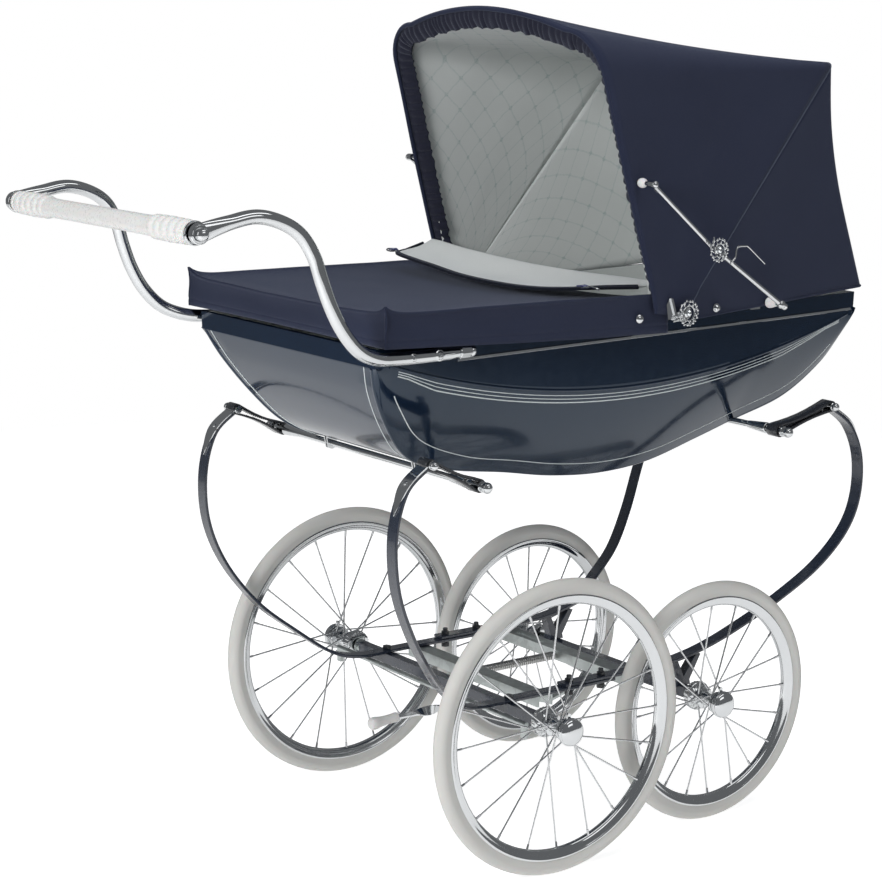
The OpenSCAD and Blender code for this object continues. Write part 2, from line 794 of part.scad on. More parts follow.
rear_spring(LEFT);  // rear_spring_left
rear_spring(RIGHT);  // rear_spring_right
front_spring(LEFT);  // front_spring_left
front_spring(RIGHT);  // front_spring_right
spring_tip_fittings();
rear_axle();
front_axle();
axle_risers();
chassis_bolts();
cross_members();
diagonal_strut();
tension_spring();
rear_strap(LEFT);  // strap_rear_left
rear_strap(RIGHT);  // strap_rear_right
front_strap(LEFT);  // strap_front_left
front_strap(RIGHT);  // strap_front_right
brake_lever();
brake_grip();
brake_shaft();
tyre(false, LEFT);  // tyre_rear_left
rim(false, LEFT);  // rim_rear_left
spokes(false, LEFT);  // spokes_rear_left
hub(false, LEFT);  // hub_rear_left
tyre(false, RIGHT);  // tyre_rear_right
rim(false, RIGHT);  // rim_rear_right
spokes(false, RIGHT);  // spokes_rear_right
hub(false, RIGHT);  // hub_rear_right
tyre(true, LEFT);  // tyre_front_left
rim(true, LEFT);  // rim_front_left
spokes(true, LEFT);  // spokes_front_left
hub(true, LEFT);  // hub_front_left
tyre(true, RIGHT);  // tyre_front_right
rim(true, RIGHT);  // rim_front_right
spokes(true, RIGHT);  // spokes_front_right
hub(true, RIGHT);  // hub_front_right
tub_shell();
tub_rail();
mattress();
body_rods();
handle_tube(LEFT);  // handle_tube_left
handle_tube(RIGHT);  // handle_tube_right
handle_grip();
handle_fixings();
apron();
apron_studs();
apron_flap();
hood_front_bow();
hood_rear_bow();
hood_canopy();
hood_back();
hood_lining();
hood_arm_lower(LEFT);  // hood_arm_lower_left
hood_arm_lower(RIGHT);  // hood_arm_lower_right
hood_arm_upper(LEFT);  // hood_arm_upper_left
hood_arm_upper(RIGHT);  // hood_arm_upper_right
hood_catch(LEFT);  // hood_catch_left
hood_catch(RIGHT);  // hood_catch_right
hood_knob(LEFT);  // hood_knob_left
hood_knob(RIGHT);  // hood_knob_right
hood_pivots();
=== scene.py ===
import math

import bmesh
import bpy
import numpy as np
from mathutils import Matrix, Vector, noise


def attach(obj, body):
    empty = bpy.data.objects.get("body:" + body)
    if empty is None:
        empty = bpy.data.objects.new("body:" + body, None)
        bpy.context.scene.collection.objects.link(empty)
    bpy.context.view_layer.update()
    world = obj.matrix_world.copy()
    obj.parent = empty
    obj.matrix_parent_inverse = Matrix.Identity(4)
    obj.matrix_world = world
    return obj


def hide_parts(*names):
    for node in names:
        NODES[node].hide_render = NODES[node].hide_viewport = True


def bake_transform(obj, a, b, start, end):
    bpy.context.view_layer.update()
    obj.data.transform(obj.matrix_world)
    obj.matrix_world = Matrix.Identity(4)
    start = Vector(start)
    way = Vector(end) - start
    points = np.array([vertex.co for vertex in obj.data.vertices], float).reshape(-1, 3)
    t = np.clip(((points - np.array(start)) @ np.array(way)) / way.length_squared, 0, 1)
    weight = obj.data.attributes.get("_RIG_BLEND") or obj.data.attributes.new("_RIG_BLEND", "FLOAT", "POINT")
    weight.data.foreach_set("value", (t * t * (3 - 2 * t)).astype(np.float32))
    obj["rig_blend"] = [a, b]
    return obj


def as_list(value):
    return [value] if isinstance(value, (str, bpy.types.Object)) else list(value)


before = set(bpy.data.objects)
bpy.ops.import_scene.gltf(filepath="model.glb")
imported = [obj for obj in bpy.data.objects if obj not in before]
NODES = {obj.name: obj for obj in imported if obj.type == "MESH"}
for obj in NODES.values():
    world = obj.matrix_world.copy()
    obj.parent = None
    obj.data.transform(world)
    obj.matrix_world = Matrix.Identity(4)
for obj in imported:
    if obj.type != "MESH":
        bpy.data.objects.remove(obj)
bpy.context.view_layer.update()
SCENE = bpy.context.scene

MM = 0.001
AXLE_X = -15.0            # place of the rear axle along the finished part, mm
# The pieces' places and sizes are in mm, with x measured from the rear axle. The camera's, the lights' and
# the floor's are in metres.
LEFT, RIGHT = 1, -1
SIDES = ((LEFT, "left"), (RIGHT, "right"))


def turn(k, n):
    """The angle of the k-th of n equal steps round a circle."""
    return 2 * math.pi * k / n


def spread(a, b, n):
    """n + 1 numbers evenly from a to b."""
    return [lerp(a, b, i / n) for i in range(n + 1)]


def lerp(a, b, t):
    return a + (b - a) * t


def circle(r, n, phase=0.0):
    return [(r * math.cos(turn(k, n) + phase), r * math.sin(turn(k, n) + phase)) for k in range(n)]


def P(x, y, z):
    """A CAD place in mm, with x measured from the rear axle, as a point of the row frame in metres."""
    return Vector(((x + AXLE_X) * MM, y * MM, z * MM))


# ---------------------------------------------------------------- camera, floor and light

CAMERA_AT = (-2.0672, -2.8547, 1.2857)
CAMERA_TURN = (35.57, 11.14, 0.21)          # yaw to the right of +Y, pitch down and roll, degrees
CAMERA_LENS, CAMERA_SHIFT = 97.16, (0.0003, 0.0013)


def make_camera():
    yaw, pitch, roll = (math.radians(a) for a in CAMERA_TURN)
    look = Vector((math.sin(yaw) * math.cos(pitch), math.cos(yaw) * math.cos(pitch), -math.sin(pitch)))
    flat = Vector((math.cos(yaw), -math.sin(yaw), 0))
    up = flat.cross(look)
    right = flat * math.cos(roll) + up * math.sin(roll)
    top = up * math.cos(roll) - flat * math.sin(roll)
    data = bpy.data.cameras.new("camera")
    data.sensor_width = 36
    data.lens = CAMERA_LENS
    data.shift_x, data.shift_y = CAMERA_SHIFT
    data.clip_end = 200
    cam = bpy.data.objects.new("camera", data)
    SCENE.collection.objects.link(cam)
    cam.matrix_world = Matrix.Translation(CAMERA_AT) @ Matrix((right, top, -look)).transposed().to_4x4()
    SCENE.camera = cam


def area_light(name, at, aim, size, power, mirrored=True):
    """A soft box at a place, aimed at another; one that isn't mirrored doesn't show in glossy surfaces."""
    data = bpy.data.lights.new(name, "AREA")
    data.shape = "RECTANGLE"
    data.size, data.size_y = size
    data.energy = power
    lamp = bpy.data.objects.new(name, data)
    SCENE.collection.objects.link(lamp)
    lamp.location = at
    lamp.rotation_mode = "QUATERNION"
    lamp.rotation_quaternion = (Vector(aim) - Vector(at)).to_track_quat("-Z", "Y")
    lamp.visible_glossy = mirrored


def nodes_of(material):
    material.use_nodes = True
    return material.node_tree.nodes, material.node_tree.links


FLOOR_R = 3.4
FLOOR_GLOW = 0.36            # light the floor gives off; the camera sees as much again, so it reads as white


def make_stage():
    mesh = bpy.data.meshes.new("floor")
    mesh.from_pydata([(x, y, 0) for x, y in circle(FLOOR_R, 64)], [], [list(range(64))])
    floor = bpy.data.objects.new("floor", mesh)
    SCENE.collection.objects.link(floor)
    paper = bpy.data.materials.new("floor_paper")
    nodes, links = nodes_of(paper)
    shader = nodes["Principled BSDF"]
    for key, value in (("Base Color", (0.86, 0.86, 0.86, 1)), ("Roughness", 0.9), ("Specular IOR Level", 0.1),
                       ("Emission Color", (1, 1, 1, 1))):
        shader.inputs[key].default_value = value
    path = nodes.new("ShaderNodeLightPath")
    glow = nodes.new("ShaderNodeMath")
    glow.operation = "MULTIPLY_ADD"
    glow.inputs[1].default_value = glow.inputs[2].default_value = FLOOR_GLOW
    links.new(path.outputs["Is Camera Ray"], glow.inputs[0])
    links.new(glow.outputs[0], shader.inputs["Emission Strength"])
    mesh.materials.append(paper)


def make_world():
    """A soft sky that lights the object, and plain white where the camera sees it."""
    world = bpy.data.worlds.new("studio")
    SCENE.world = world
    nodes, links = nodes_of(world)
    nodes.clear()
    out = nodes.new("ShaderNodeOutputWorld")
    mix = nodes.new("ShaderNodeMixShader")
    links.new(nodes.new("ShaderNodeLightPath").outputs["Is Camera Ray"], mix.inputs[0])
    for i, (colour, strength) in enumerate((((0.93, 0.96, 1.0, 1), 0.16), ((1, 1, 1, 1), 1.0)), 1):
        sky = nodes.new("ShaderNodeBackground")
        sky.inputs["Color"].default_value = colour
        sky.inputs["Strength"].default_value = strength
        links.new(sky.outputs[0], mix.inputs[i])
    links.new(mix.outputs[0], out.inputs["Surface"])


make_camera()
make_stage()
make_world()
area_light("top_box", (0.5, -0.2, 3.4), (0.1, 0, 0.6), (3.4, 3.0), 58, mirrored=False)
area_light("top_strip", (0.3, -1.4, 3.0), (0.1, 0, 0.7), (2.4, 0.5), 7)
area_light("left_box", (-3.6, 0.6, 1.7), (0, 0, 0.8), (1.2, 2.2), 9)
area_light("front_box", (0.6, -3.8, 2.4), (0.1, 0, 0.7), (2.2, 1.0), 9)
area_light("hood_fill", (-2.6, -0.9, 1.75), (0.25, 0.05, 0.95), (0.9, 0.7), 50, mirrored=False)
SCENE.view_settings.view_transform = "Standard"
SCENE.view_settings.look = "None"


# ---------------------------------------------------------------- materials

class Shader:
    """A new material: its Principled shader, and the nodes that feed it."""

    def __init__(self, name, colour, rough, metal=0.0):
        self.material = bpy.data.materials.new(name)
        self.nodes, self.links = nodes_of(self.material)
        self.principled = self.nodes["Principled BSDF"]
        self.place = self.coords("Object")
        self.set(base_color=(*colour, 1), roughness=rough, metallic=metal)

    def set(self, **sockets):
        """Sets shader sockets to plain values; sheen_weight is the socket Sheen Weight."""
        for key, value in sockets.items():
            name = key.replace("_", " ").title().replace("Ior", "IOR")
            self.principled.inputs[name].default_value = value

    def feed(self, socket, value):
        self.links.new(value, self.principled.inputs[socket])

    def node(self, kind, out, where=None, **values):
        """A node's output; values go to its inputs, and where is linked to its Vector."""
        n = self.nodes.new(kind)
        for key, value in values.items():
            n.inputs[key.replace("_", " ").title()].default_value = value
        if where is not None:
            self.links.new(where, n.inputs["Vector"])
        return n.outputs[out]

    def coords(self, kind):
        return self.nodes.new("ShaderNodeTexCoord").outputs[kind]

    def tone(self, value, dark, light):
        """A colour that runs from dark to light with value, a node's output between 0 and 1."""
        ramp = self.nodes.new("ShaderNodeValToRGB")
        ramp.color_ramp.elements[0].color = (*dark, 1)
        ramp.color_ramp.elements[1].color = (*light, 1)
        self.links.new(value, ramp.inputs[0])
        return ramp.outputs[0]

    def span(self, value, lo, hi, a=0.3, b=0.7):
        """Value, mostly between a and b, spread from lo to hi."""
        r = self.nodes.new("ShaderNodeMapRange")
        for key, number in zip(("From Min", "From Max", "To Min", "To Max"), (a, b, lo, hi)):
            r.inputs[key].default_value = number
        self.links.new(value, r.inputs["Value"])
        return r.outputs[0]

    def noise(self, scale, detail=3.0, rough=0.5):
        return self.node("ShaderNodeTexNoise", "Fac", self.place, scale=scale, detail=detail, roughness=rough)

    def voronoi(self, scale):
        """Cell colour and distance outputs of one Voronoi texture."""
        colour = self.node("ShaderNodeTexVoronoi", "Color", self.place, scale=scale)
        return colour, colour.node.outputs["Distance"]

    def bump(self, height, strength, depth, under=None):
        b = self.nodes.new("ShaderNodeBump")
        b.inputs["Strength"].default_value = strength
        b.inputs["Distance"].default_value = depth
        self.links.new(height, b.inputs["Height"])
        if under is not None:
            self.links.new(under, b.inputs["Normal"])
        self.feed("Normal", b.outputs[0])
        return b.outputs[0]

    def maths(self, op, *terms):
        m = self.nodes.new("ShaderNodeMath")
        m.operation = op
        for socket, term in zip(m.inputs, terms):
            if isinstance(term, (int, float)):
                socket.default_value = term
            else:
                self.links.new(term, socket)
        return m.outputs[0]

    def add(self, a, b):
        return self.maths("ADD", a, b)

    def times(self, a, b):
        return self.maths("MULTIPLY", a, b)


def scaled(colour, by):
    return tuple(c * by for c in colour)


WAVE_SCALE = 0.314            # wave texture scale for a band pitch of one unit


def cloth_material(name, dark, light, thread=0.9, sheen=0.35, uv=True, rough=0.85):
    """Plain woven cloth. thread is the thread pitch in mm, light the tone of the raised threads."""
    g = Shader(name, dark, rough)
    g.set(sheen_weight=sheen, sheen_roughness=0.45, sheen_tint=(0.75, 0.82, 1.0, 1), specular_ior_level=0.25)
    where = g.coords("UV" if uv else "Object")
    waves = []
    for axis in ("X", "Y"):
        wave = g.node("ShaderNodeTexWave", "Fac", where, scale=WAVE_SCALE / (thread * MM), distortion=0.6,
                      detail=1.0, detail_scale=1.0)
        wave.node.bands_direction = axis
        waves.append(wave)
    weave = g.times(*waves)
    slub = g.noise(420, 2.0, 0.6)
    patch = g.noise(7)
    level = g.add(g.times(weave, 0.35), g.add(g.times(slub, 0.45), g.times(patch, 0.35)))
    g.feed("Base Color", g.tone(level, dark, light))
    g.feed("Roughness", g.span(slub, rough - 0.12, rough + 0.1))
    first = g.bump(patch, 0.25, 0.004)
    g.bump(g.add(weave, slub), 0.35, 0.0005, first)
    return g.material


def metal_material(name, colour, low, high, scale=30.0, spangled=False):
    """Polished metal with slight waves, or galvanised metal with spangles."""
    g = Shader(name, colour, low, 1.0)
    cloud = g.noise(scale, 4.0, 0.6)
    g.feed("Roughness", g.span(cloud, low, high))
    if spangled:
        flake, distance = g.voronoi(110)
        g.feed("Base Color", g.tone(flake, scaled(colour, 0.78), colour))
        g.bump(distance, 0.12, 0.0006)
    else:
        g.feed("Base Color", g.tone(cloud, scaled(colour, 0.93), colour))
        g.bump(g.noise(160, 2.0), 0.02, 0.0008)
    return g.material


def paint_material(name, colour, low, high, coat_weight, coat_rough=0.03):
    g = Shader(name, colour, low)
    g.set(coat_weight=coat_weight, coat_roughness=coat_rough)
    g.feed("Base Color", g.tone(g.noise(5), scaled(colour, 0.86), scaled(colour, 1.12)))
    g.feed("Roughness", g.span(g.noise(60, 4.0), low, high))
    g.bump(g.noise(90, 1.0), 0.015, 0.0008)
    return g.material


def plastic_material(name, colour, low, high, soft=0.0, grain=300.0, depth=0.0002):
    g = Shader(name, colour, low)
    g.set(subsurface_weight=soft, subsurface_scale=0.004)
    g.feed("Base Color", g.tone(g.noise(14, 4.0, 0.6), scaled(colour, 0.93), colour))
    fine = g.noise(grain)
    g.feed("Roughness", g.span(fine, low, high))
    g.bump(fine, 0.15, depth)
    return g.material


def leather_material():
    g = Shader("strap_leather", (0.012, 0.013, 0.016), 0.22)
    g.set(coat_weight=0.5, coat_roughness=0.12)
    wear = g.noise(45, 4.0, 0.6)
    g.feed("Base Color", g.tone(wear, (0.008, 0.009, 0.011), (0.035, 0.038, 0.045)))
    g.feed("Roughness", g.span(wear, 0.10, 0.26))
    g.bump(g.voronoi(700)[1], 0.25, 0.0004)
    return g.material


LATTICE = (0.052, 0.066)      # width and height of one printed diamond, m


def lattice_material():
    """Pale lining cloth printed with a faint diamond lattice and a small rosette where its lines cross."""
    g = Shader("lining_print", (0.62, 0.65, 0.64), 0.9)
    g.set(sheen_weight=0.15)
    uv = g.nodes.new("ShaderNodeSeparateXYZ")
    g.links.new(g.coords("UV"), uv.inputs[0])
    wobble = g.times(g.noise(60, 2.0), 0.12)
    lines = []
    for sign in (1, -1):
        slant = g.add(g.times(uv.outputs[0], 1 / LATTICE[0]), g.times(uv.outputs[1], sign / LATTICE[1]))
        saw = g.maths("SUBTRACT", g.maths("FRACT", g.add(slant, wobble)), 0.5)
        lines.append(g.maths("ABSOLUTE", saw))
    net = g.maths("MAXIMUM", *(g.span(line, 0.0, 1.0, 0.455, 0.485) for line in lines))
    crossing = g.times(*(g.span(line, 0.0, 1.0, 0.36, 0.5) for line in lines))
    knot = g.span(crossing, 0.0, 1.0, 0.2, 0.3)
    petals = g.noise(330, 2.0, 0.6)
    mark = g.add(g.times(net, 0.55), g.times(g.times(knot, petals), 1.1))
    cloud = g.noise(9)
    mix = g.nodes.new("ShaderNodeMix")
    mix.data_type = "RGBA"
    g.links.new(g.times(mark, g.span(petals, 0.35, 1.0)), mix.inputs["Factor"])
    g.links.new(g.tone(cloud, (0.68, 0.71, 0.70), (0.78, 0.80, 0.79)), mix.inputs["A"])
    mix.inputs["B"].default_value = (0.50, 0.58, 0.57, 1)
    g.feed("Base Color", mix.outputs["Result"])
    g.feed("Roughness", g.span(petals, 0.8, 0.95))
    first = g.bump(cloud, 0.3, 0.006)
    g.bump(petals, 0.25, 0.0004, first)
    return g.material


NAVY_CLOTH = cloth_material("navy_cloth", (0.0105, 0.0135, 0.031), (0.029, 0.036, 0.070), sheen=0.14)
RUCHE_CLOTH = cloth_material("navy_ruche", (0.010, 0.011, 0.020), (0.024, 0.025, 0.042), sheen=0.2)
PIPING = cloth_material("navy_piping", (0.006, 0.007, 0.012), (0.016, 0.018, 0.028), uv=False, sheen=0.15)
LINING = lattice_material()
LINER = cloth_material("pale_liner", (0.66, 0.69, 0.68), (0.80, 0.82, 0.81), sheen=0.15)
SEAM = cloth_material("seam_cord", (0.030, 0.038, 0.060), (0.075, 0.088, 0.125), uv=False, sheen=0.4)
TAB = cloth_material("tab_webbing", (0.020, 0.022, 0.090), (0.05, 0.055, 0.17), uv=False)
LINER_PLAIN = cloth_material("tub_lining", (0.60, 0.63, 0.62), (0.74, 0.76, 0.75), sheen=0.15, uv=False)
COTTON = cloth_material("white_cotton", (0.70, 0.70, 0.68), (0.84, 0.84, 0.82), sheen=0.2, uv=False)
COACH = paint_material("navy_coachwork", (0.0050, 0.0125, 0.029), 0.10, 0.16, 0.2)
COACH.node_tree.nodes["Principled BSDF"].inputs["Specular Tint"].default_value = (0.66, 0.83, 1.0, 1)
STEEL = paint_material("navy_steel", (0.016, 0.022, 0.037), 0.22, 0.34, 0.7, 0.08)
LINE = paint_material("coach_line", (0.66, 0.71, 0.71), 0.25, 0.35, 0.6)
DARK = paint_material("dark_fixings", (0.012, 0.014, 0.018), 0.3, 0.45, 0.3)
CHROME = metal_material("chrome", (0.71, 0.725, 0.735), 0.05, 0.12)
BRIGHT = metal_material("bright_wire", (0.67, 0.68, 0.69), 0.14, 0.26)
ZINC = metal_material("galvanised", (0.60, 0.64, 0.63), 0.30, 0.48, spangled=True)
SPRING = metal_material("spring_steel", (0.60, 0.60, 0.59), 0.22, 0.34)
JEWEL = metal_material("jewel_silver", (0.90, 0.93, 0.95), 0.03, 0.10, 90.0)
LEATHER = leather_material()
RUBBER = plastic_material("tyre_rubber", (0.63, 0.625, 0.60), 0.48, 0.66, 0.08, 240.0, 0.0004)
GRIP = plastic_material("white_grip", (0.64, 0.64, 0.63), 0.24, 0.36, 0.15)
KNOB = plastic_material("white_knob", (0.74, 0.74, 0.73), 0.22, 0.34, 0.15)


# ---------------------------------------------------------------- mesh building

def unit(v):
    return v / max(v.length, 1e-12)


def smooth(points, n):
    """Catmull-Rom curve through tuples of numbers, n pieces per span."""
    out = []
    last = len(points) - 1
    for i in range(last):
        a, b, c, d = (points[max(i - 1, 0)], points[i], points[i + 1], points[min(i + 2, last)])
        for k in range(n):
            t = k / n
            out.append(tuple(
                0.5 * (2 * q + (r - p) * t + (2 * p - 5 * q + 4 * r - s) * t * t + (3 * q - p - 3 * r + s) * t ** 3)
                for p, q, r, s in zip(a, b, c, d)))
    return out + [tuple(points[-1])]


def arc(r, a0, a1, n):
    """Points of an arc of radius r between two angles in degrees."""
    return [(r * math.cos(math.radians(a)), r * math.sin(math.radians(a))) for a in spread(a0, a1, n)]


class Build:
    """Vertices and faces of several forms, gathered into one mesh. Points are in metres; radii, profiles,
    sections and thicknesses are in mm."""

    def __init__(self):
        self.v, self.f, self.uv = [], [], []

    def add(self, verts, faces, uv=None):
        k = len(self.v)
        self.v += [tuple(p) for p in verts]
        self.uv += list(uv) if uv is not None else [(0.0, 0.0)] * len(verts)
        self.f += [tuple(k + i for i in f) for f in faces]
        return self

    def grid(self, rows, wrap=False, close=False, uv=False, flip=False):
        """Sheet of quads through rows of points. wrap joins the ends of each row, close the last row to the
        first. uv lays it out flat for the weave."""
        nu, nv = len(rows), len(rows[0])
        faces = []
        for i in range(nu if close else nu - 1):
            for j in range(nv if wrap else nv - 1):
                a, b = (i % nu) * nv + j, (i % nu) * nv + (j + 1) % nv
                c, d = ((i + 1) % nu) * nv + (j + 1) % nv, ((i + 1) % nu) * nv + j
                faces.append((a, d, c, b) if flip else (a, b, c, d))
        where = None
        if uv:
            mid = rows[nu // 2]
            across, along = [0.0], [0.0]
            for j in range(1, nv):
                across.append(across[-1] + (mid[j] - mid[j - 1]).length)
            for i in range(1, nu):
                along.append(along[-1] + max((rows[i][j] - rows[i - 1][j]).length
                                             for j in range(0, nv, max(1, nv // 6))))
            where = [(x, y) for y in along for x in across]
        return self.add([p for row in rows for p in row], faces, where)

    def tube(self, path, radius=1.0, sides=12, caps=True, section=None, up=None):
        """Tube along path. radius is a number or a function of the share along it. section, a list or a function
        of that share, gives ring points in units of the radius. up keeps the ring square to that direction."""
        n = len(path)
        heads = [unit(path[min(i + 1, n - 1)] - path[max(i - 1, 0)]) for i in range(n)]
        side = heads[0].orthogonal()
        rings = []
        for i, (at, head) in enumerate(zip(path, heads)):
            t = i / max(n - 1, 1)
            guide = side if up is None else Vector(up)
            side = unit(guide - head * head.dot(guide))
            third = head.cross(side)
            r = (radius(t) if callable(radius) else radius) * MM
            ring = section(t) if callable(section) else section or circle(1, sides)
            rings.append([at + side * (a * r) + third * (b * r) for a, b in ring])
        self.grid(rings, wrap=True, flip=True)
        if caps:
            m = len(rings[0])
            k = len(self.v) - n * m
            self.f.append(tuple(k + j for j in range(m)))
            self.f.append(tuple(k + (n - 1) * m + j for j in reversed(range(m))))
        return self

    def lathe(self, profile, at, axis, segments=48):
        """Turns (radius, along) points in mm round axis through at."""
        axis = unit(Vector(axis))
        side = axis.orthogonal()
        side.normalize()
        third = axis.cross(side)
        rings = []
        for a, b in circle(1, segments):
            d = side * a + third * b
            rings.append([at + d * (max(r, 0.001) * MM) + axis * (h * MM) for r, h in profile])
        return self.grid(rings, close=True)

    def ball(self, at, r, axis, squeeze=1.0, segments=24):
        n = segments // 2
        return self.lathe([(r * math.sin(math.pi * i / n), -r * squeeze * math.cos(math.pi * i / n))
                           for i in range(n + 1)], at, axis, segments)

    def rod(self, a, b, r):
        """Straight round bar from a to b with slightly eased ends; r in mm."""
        length = (b - a).length / MM
        e = 0.4
        return self.lathe([(0, 0), (r - e, 0), (r, e), (r, length - e), (r - e, length), (0, length)],
                          a, b - a, 16)

    def prism(self, outline, height, at, axis, side):
        """Flat plate: outline points (mm) in the plane square to axis, first number along side."""
        axis, side = unit(Vector(axis)), Vector(side)
        side = unit(side - axis * side.dot(axis))
        third = axis.cross(side)
        m = len(outline)
        verts = [at + side * (p * MM) + third * (q * MM) + axis * (h * MM)
                 for h in (0, height) for p, q in outline]
        faces = [tuple(reversed(range(m))), tuple(range(m, 2 * m))]
        faces += [(i, (i + 1) % m, m + (i + 1) % m, m + i) for i in range(m)]
        return self.add(verts, faces)

    def done(self, name, material, body, slot=None, replaces=(), angle=40, bevel=0.0, thick=0.0,
             merge=True, ride=True):
        mesh = bpy.data.meshes.new(name)
        mesh.from_pydata(self.v, [], self.f)
        layer = mesh.uv_layers.new(name="UVMap")
        loops = np.zeros(len(mesh.loops), np.int32)
        mesh.loops.foreach_get("vertex_index", loops)
        uv = np.array(self.uv, np.float32)[loops]
        layer.data.foreach_set("uv", uv.ravel())
        if merge:
            bm = bmesh.new()
            bm.from_mesh(mesh)
            bmesh.ops.remove_doubles(bm, verts=bm.verts, dist=2e-6)
            bmesh.ops.dissolve_degenerate(bm, edges=bm.edges, dist=1e-6)
            bmesh.ops.recalc_face_normals(bm, faces=bm.faces)
            bm.to_mesh(mesh)
            bm.free()
        mesh.shade_smooth()
        mesh.set_sharp_from_angle(angle=math.radians(angle))
        mesh.materials.append(material)
        obj = bpy.data.objects.new(name, mesh)
        SCENE.collection.objects.link(obj)
        if bevel:
            soften(obj, bevel)
        if thick:
            m = obj.modifiers.new("thickness", "SOLIDIFY")
            m.thickness = thick * MM
            m.offset = 0.0
        if replaces:
            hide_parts(*replaces)
        if ride:
            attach(obj, body)
        return obj


SHARP = math.radians(40)


def soften(obj, width):
    """Rounds the sharp edges of an object."""
    m = obj.modifiers.new("edges", "BEVEL")
    m.width = width * MM
    m.segments = 2
    m.limit_method = "ANGLE"
    m.angle_limit = SHARP
    obj.data.shade_smooth()
    obj.data.set_sharp_from_angle(angle=SHARP)


def paint(node, material, bevel=0.0):
    """Gives a CAD node that stays its material, and rounds its edges."""
    obj = NODES[node]
    obj.data.materials.clear()
    obj.data.materials.append(material)
    if bevel:
        soften(obj, bevel)


# ---------------------------------------------------------------- wheels

TYRE_W, TYRE_DEPTH, RIM_DEPTH = 22.0, 24.0, 14.0
SPOKES, FLANGE_R = 20, 14.0
WHEELS = (("rear", 0.0, 280.0, 220.0), ("front", 337.0, 231.0, 188.0))      # end, x, half track, radius
# Turned profiles as (radius, place along the axle); the rim's radii count from the tyre's seat.
RIM_SIDE = [(1.6, -9.2), (0.4, -9.9), (-1.2, -9.9), (-2.6, -9.2), (-5.0, -8.0), (-8.5, -6.9), (-11.5, -5.2),
            (-13.4, -2.8), (-14.0, 0)]
HUB_CAP = [(9.5, 20), (15.5, 19.6), (17.0, 20.4), (17.0, 22.0), (15.2, 22.8), (15.0, 24.0), (19.4, 24.4),
           (20.6, 25.6), (20.6, 28.4), (19.4, 29.6), (18.6, 30.0), (19.6, 30.8), (19.8, 32.2), (19.0, 33.6),
           (17.0, 35.4), (13.6, 37.2), (9.4, 38.6), (4.8, 39.3), (0, 39.5)]
HUB_BODY = [(6.2, -38.5), (19.5, -38.5), (20.6, -38.0), (21.0, -36.8), (21.6, -30.0), (22.4, -27.4), (21.4, -26.0),
            (14.0, -22.6), (11.6, -20.6), (11.2, -18.6), (16.2, -17.6), (17.2, -16.6), (17.2, -14.4),
            (16.2, -13.4), (10.6, -12.2), (9.6, -8.0), (9.4, 0), (9.6, 8.0), (10.6, 12.2), (16.2, 13.4),
            (17.2, 14.4), (17.2, 16.6), (16.2, 17.6), (11.0, 18.4), (9.5, 20.2)]


def make_wheel(end, x, track, radius, s, side):
    """Tyre, rim, crossed spokes and hub of one wheel; spot() is a place at a radius, angle and height on it."""
    body = f"wheel_{end}_{side}"
    centre, out = P(x, s * track, radius), Vector((0, s, 0))
    tag = f"{end}_{side}"

    def spot(r, angle, h):
        return centre + Vector((math.cos(angle), 0, math.sin(angle))) * (r * MM) + out * (h * MM)

    c = radius - TYRE_W / 2
    tread = [(c + p, q * (1.0 if p < 9.5 else 0.985)) for p, q in arc(TYRE_W / 2, -118, 118, 26)]
    base = radius - TYRE_DEPTH
    profile = [(base, -8.2), (base + 2.0, -8.9)] + tread + [(base + 2.0, 8.9), (base, 8.2), (base, -8.2)]
    Build().lathe(profile, centre, out, 128).done(
        f"tyre_skin_{tag}", RUBBER, body, "tyre_rubber", [f"tyre_{tag}"], 50)

    shell = smooth([(base + p, q) for p, q in RIM_SIDE], 2)
    shell += [(p, -q) for p, q in reversed(shell[:-1])] + [(base - 0.4, 7.6), (base - 0.4, -7.6), shell[0]]
    Build().lathe(shell, centre, out, 128).done(f"rim_shell_{tag}", CHROME, body, "chrome", [f"rim_{tag}"], 34)

    wires = Build()
    end_r = base - RIM_DEPTH
    for i in range(SPOKES):
        angle = turn(i, SPOKES)
        fore = 1 if i % 2 == 0 else -1
        lean = math.radians(64 if (i // 2) % 2 == 0 else -64)
        foot = spot(FLANGE_R, angle + lean, fore * 16.6)
        neck = spot(FLANGE_R, angle + lean, fore * 14.0)
        head = spot(end_r + 1.5, angle, fore * 1.5)
        start = neck + unit(head - neck) * 0.0025
        wires.tube([foot, lerp(foot, neck, 0.6), start, lerp(start, head, 0.5), head], 1.35, 8)
        wires.ball(foot, 2.0, out, 0.6, 12)
        nip = unit(head - start)
        wires.lathe([(0, 0), (1.5, 0), (1.9, 0.8), (1.9, 8), (2.4, 9), (2.6, 10.5), (0, 10.8)],
                    head - nip * 0.0095, nip, 12)
    wires.done(f"spoke_wires_{tag}", BRIGHT, body, "chrome", [f"spokes_{tag}"], 50, merge=False)

    hub = Build()
    for profile in (HUB_CAP, HUB_BODY):
        hub.lathe(profile, centre, out, 64)
    for k in range(24):
        angle = turn(k, 24)
        hub.tube([spot(20.6, angle, -37.6), spot(21.9, angle, -28.2)], 1.15, 6)
    catch = spot(19.0, math.pi / 2, 22.5)
    hub.tube([catch, catch + Vector((0, 0, 0.004)), catch + Vector((0.001, 0, 0.0075))], 1.5, 8,
             section=[(1.9, 1), (-1.9, 1), (-1.9, -1), (1.9, -1)], up=(1, 0, 0))
    hub.done(f"hub_shell_{tag}", CHROME, body, "chrome", [f"hub_{tag}"], 32)


for end, x, track, radius in WHEELS:
    for s, side in SIDES:
        make_wheel(end, x, track, radius, s, side)


# ---------------------------------------------------------------- chassis

